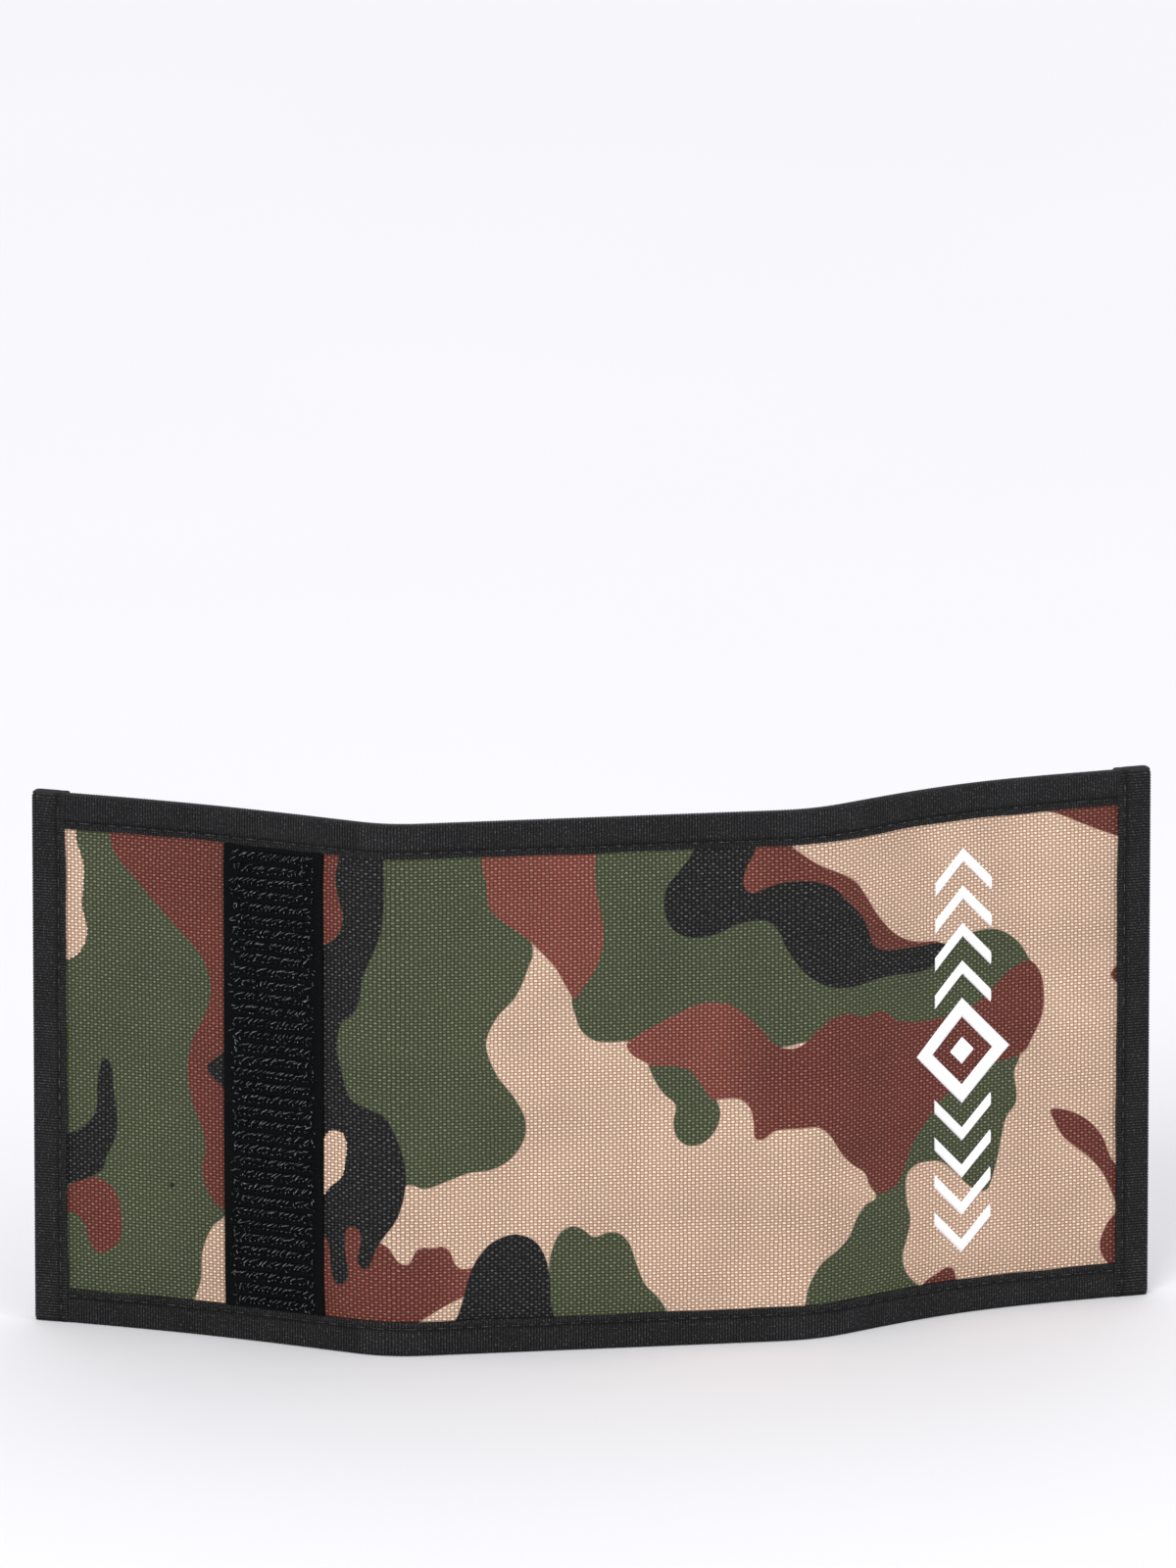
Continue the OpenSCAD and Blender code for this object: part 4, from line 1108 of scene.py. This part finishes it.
low, high = flat_box("window_pocket", "left_wing")
clear_low, clear_high = flat_box("clear_window", "left_wing")
hole = (clear_low[0] + LAP, clear_high[0] - LAP, clear_low[2] + LAP, clear_high[2] - LAP)
s_lines = lines_with(low[0], high[0], POCKET_GRID, hole[0], hole[1], hole[0] - 1, hole[1] + 1)
z_lines = up_to_hem(low, high, hole[2], hole[3], hole[2] - 1, hole[3] + 1)
front = hemmed(z_lines, high[2], high[1])
cloth_piece("window_sleeve", s_lines, z_lines, front, low[1], POCKET_GRID,
            POCKET, "left_wing", ("window_pocket",), keep=~inside(s_lines, z_lines, hole))
cloth_piece("window_film", (clear_low[0], clear_high[0]), (clear_low[2], clear_high[2]),
            clear_high[1], clear_low[1] + 0.12, 3.0,
            VINYL, "left_wing", ("clear_window",))
face = high[1] + ON_FACE
across = (hole[0] - LAP / 2, hole[1] + LAP / 2)
upward = (hole[2] - LAP / 2, hole[3] + LAP / 2)
stitching("window_sleeve_stitching", [
    *(seam(across, face, z, FINE_PITCH) for z in upward),
    *(seam_up(s, face, upward, FINE_PITCH) for s in across),
    seam((low[0] + 1, high[0] - 1), face + 0.25, high[2] - HEM + 1),
    seam_up(low[0] + 1.5, face, (binding_w, high[2] - 1)),
], "left_wing", FINE_THREAD)

low, high = flat_box("slip_pocket", "right_wing")
z_lines = up_to_hem(low, high)
cloth_piece("slip_sleeve", (low[0], high[0]), z_lines, hemmed(z_lines, high[2], high[1]), low[1],
            POCKET_GRID, POCKET, "right_wing", ("slip_pocket",))
face = high[1] + ON_FACE
stitching("slip_sleeve_stitching", [
    seam((low[0] + 1, high[0] - 1), face + 0.25, high[2] - HEM + 1),
    seam_up(low[0] + 1.5, face, (binding_w, high[2] - 1)),
], "right_wing", FINE_THREAD)

# ---- Coin pocket ----

front_low, front_high = flat_box("coin_pocket_front")
top_low, top_high = flat_box("coin_pocket_top")
side_low, side_high = flat_box("coin_pocket_gusset")
lower_low, lower_high = flat_box("lower_zip_tape")
upper_low, upper_high = flat_box("upper_zip_tape")
zip_z = (lower_low[2] + upper_high[2]) / 2
slot_low, slot_high = front_high[2], 2 * zip_z - front_high[2]


def belly(s_lines, z_lines, amount):
    """How far the coin pocket's slack front stands out: a half sine each way, most in the
    middle, with slow creases."""
    across = np.sin(math.pi * (s_lines - s_lines[0]) / (s_lines[-1] - s_lines[0]))[:, None]
    up = np.sin(math.pi * np.clip((z_lines - z_lines[0]) / (z_lines[-1] - z_lines[0]), 0, 1))[None, :]
    creases = 0.25 * np.sin(s_lines / 9)[:, None] * np.sin(z_lines / 11 + 0.6)[None, :]
    return amount * across * up * (1 + creases)


s_lines = steps(front_low[0], front_high[0], 1.5)
near_slot = np.arange(front_high[2] - 2, front_high[2], 0.4)
z_lines = lines_with(front_low[2], front_high[2], 1.5, *near_slot)
bulge = belly(s_lines, z_lines, 0.5)
edge = 0.2 * np.exp(-(front_high[2] - z_lines) / 0.3)[None, :]
cloth_piece("coin_pocket_face", s_lines, z_lines, front_high[1] + bulge - edge, front_low[1] + bulge, 1.5,
            POCKET, "centre", ("coin_pocket_front",))
slot = (lower_low[0], lower_high[0], top_low[2], slot_high)
s_lines = lines_with(top_low[0], top_high[0], POCKET_GRID, slot[0], slot[1])
z_lines = lines_with(top_low[2], top_high[2], 1.0, slot_high)
cloth_piece("coin_pocket_yoke", s_lines, z_lines, top_high[1], top_low[1], POCKET_GRID,
            POCKET, "centre", ("coin_pocket_top",), keep=~inside(s_lines, z_lines, slot))
GUSSET_W = 3.0
hollow = (side_low[0] + GUSSET_W, side_high[0] - GUSSET_W, side_low[2] + GUSSET_W, side_high[2] - GUSSET_W)
s_lines = lines_with(side_low[0], side_high[0], POCKET_GRID, hollow[0], hollow[1])
z_lines = lines_with(side_low[2], side_high[2], POCKET_GRID, hollow[2], hollow[3])
cloth_piece("coin_pocket_sides", s_lines, z_lines, side_high[1], side_low[1], POCKET_GRID,
            LINING, "centre", ("coin_pocket_gusset",), keep=~inside(s_lines, z_lines, hollow))
face = front_high[1] + ON_FACE
slot_s = (lower_low[0], lower_high[0])
beside_slot = (lower_low[0] - 1.2, lower_high[0] + 1.2)
round_slot = (slot_low - 1.4, slot_high + 1.2)
sides = (front_low[0] + 1.5, front_high[0] - 1.5)
stitching("coin_pocket_stitching", [
    *(seam(slot_s, face, z, FINE_PITCH) for z in round_slot),
    *(seam_up(s, face, round_slot, FINE_PITCH) for s in beside_slot),
    *(seam_up(s, face, (binding_w + 1, top_high[2] - 1)) for s in sides),
    seam(sides, face, top_high[2] - 1.2),
], "centre", FINE_THREAD)

# ---- Zip ----

TOOTH = 1.15
COIL_WIRE = 0.24

for node in ("lower_zip_tape", "upper_zip_tape"):
    low, high = flat_box(node)
    cloth_piece(f"{node}_cloth", (low[0], high[0]), (low[2], high[2]), high[1], low[1], 1.0,
                ZIP_TAPE, "centre", (node,))


def coil(low, high, phase):
    """A zip coil: a flattened helix, one turn to each tooth."""
    turns = (high[0] - low[0] - 0.4) / TOOTH
    t = np.linspace(0, turns, int(turns * 14))
    half_w = (high[2] - low[2]) / 2 - 0.12
    half_t = (high[1] - low[1]) / 2 - 0.16
    angle = 2 * math.pi * t + phase
    path = np.stack([
        low[0] + 0.2 + t * TOOTH + 0.12 * np.sin(angle),
        (low[1] + high[1]) / 2 + half_t * np.cos(angle),
        (low[2] + high[2]) / 2 + half_w * np.sin(angle),
    ], -1)
    return filaments(path[None], COIL_WIRE, 5, up=(1, 0, 0))


for node, phase in (("upper_zip_coil", 0.0), ("lower_zip_coil", math.pi)):
    low, high = flat_box(node)
    flat, faces = coil(low, high, phase)
    piece(f"{node}_teeth", flat, faces, ZIP_COIL, "centre", (node,))
    rows = [seam((low[0] + 0.5, high[0] - 0.5), high[1] + 0.05, (low[2] + high[2]) / 2, 1.2, 0.3)]
    stitching(f"{node}_sewing", rows, "centre", 0.13)


def softened(node, label, body, radius):
    """A CAD metal part with its corners tumbled round: a merged copy of it, bevelled."""
    source = frame["nodes"][node]
    mesh = source.data.copy()
    mesh.transform(source.matrix_world)
    mesh.materials.clear()
    mesh.materials.append(ZINC)
    made = bpy.data.objects.new(label, mesh)
    bpy.context.scene.collection.objects.link(made)
    bpy.context.view_layer.objects.active = made
    weld = made.modifiers.new("weld", "WELD")
    weld.merge_threshold = 1e-6
    flatten = made.modifiers.new("flatten", "DECIMATE")
    flatten.decimate_type = "DISSOLVE"
    flatten.angle_limit = math.radians(1)
    bevel = made.modifiers.new("bevel", "BEVEL")
    bevel.width = radius * MM
    bevel.segments = 3
    bevel.limit_method = "ANGLE"
    bevel.harden_normals = True
    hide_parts(node)
    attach(made, body)
    return made


softened("zip_slider", "slider_body", "slider", 0.16)
softened("zip_pull", "pull_tab", "pull", 0.2)
softened("zip_end_stop", "end_stop_clamp", "centre", 0.25)
softened("zip_start_stop", "start_stop_clamp", "centre", 0.25)

# ---- Studio ----


def floor():
    """A wide, flat floor of pale matt paper, with the faintest unevenness of tone."""
    mesh = bpy.data.meshes.new("paper_floor")
    reach = 30.0
    corners = [(-reach, -reach, 0), (reach, -reach, 0), (reach, reach, 0), (-reach, reach, 0)]
    mesh.from_pydata(corners, [], [(0, 1, 2, 3)])
    made, tree, shader = material("matt_paper", Roughness=0.9, Specular_IOR_Level=0.2)
    place = add(tree, "TexCoord").node.outputs["Object"]
    grain = add(tree, "TexNoise", {"Vector": place, "Scale": 3.0, "Detail": 2.0})
    low, high = linear("#DFDFE1"), linear("#E3E3E5")
    colour = add(tree, "Mix", {0: grain, 6: low, 7: high}, data_type="RGBA").node.outputs[2]
    tree.links.new(colour, shader.inputs["Base Color"])
    mesh.materials.append(made)
    paper = bpy.data.objects.new("paper_floor", mesh)
    bpy.context.scene.collection.objects.link(paper)


def soft_light(name, place, aim, width, depth, power):
    """A large soft box at a place, turned to face a point."""
    data = bpy.data.lights.new(name, "AREA")
    data.shape = "RECTANGLE"
    data.size, data.size_y, data.energy = width, depth, power
    lamp = bpy.data.objects.new(name, data)
    lamp.location = place
    lamp.rotation_euler = (Vector(aim) - Vector(place)).to_track_quat("-Z", "Y").to_euler()
    bpy.context.scene.collection.objects.link(lamp)


def camera():
    """A long lens from a little left of square and fifteen degrees above, aimed above the wallet."""
    azimuth, elevation, away = math.radians(-8.7), math.radians(15), 5.0
    level = math.cos(elevation)
    look = Vector((-math.sin(azimuth) * level, math.cos(azimuth) * level, -math.sin(elevation)))
    right = look.cross(Vector((0, 0, 1))).normalized()
    up = right.cross(look)
    middle = Vector((middle_x, outer_y, height / 2)) * MM
    data = bpy.data.cameras.new("camera")
    data.sensor_width, data.lens = 36, 503.9
    data.clip_start, data.clip_end = 0.1, 50
    eye = bpy.data.objects.new("camera", data)
    eye.location = middle - look * away
    aim = middle + up * 0.0684 - right * 0.0033
    eye.rotation_euler = (aim - eye.location).to_track_quat("-Z", "Y").to_euler()
    bpy.context.scene.collection.objects.link(eye)
    bpy.context.scene.camera = eye


def surroundings():
    """Even, nearly white light from all round, shown without a film curve."""
    world = bpy.data.worlds.new("studio")
    world.use_nodes = True
    background = world.node_tree.nodes["Background"]
    background.inputs["Color"].default_value = linear("#F7F7FA")
    background.inputs["Strength"].default_value = 1.0
    bpy.context.scene.world = world
    bpy.context.scene.view_settings.view_transform = "Standard"


surroundings()
floor()
wallet_middle = (0, 0, 0.06)
soft_light("key", (-2.4, -4.8, 3.15), wallet_middle, 2.4, 2.4, 205)
soft_light("fill", (3.9, -3.6, 2.4), wallet_middle, 2.1, 2.1, 66)
soft_light("behind", (0.4, 4.2, 4.0), (0, 0.9, 0), 4.0, 3.0, 32)
camera()
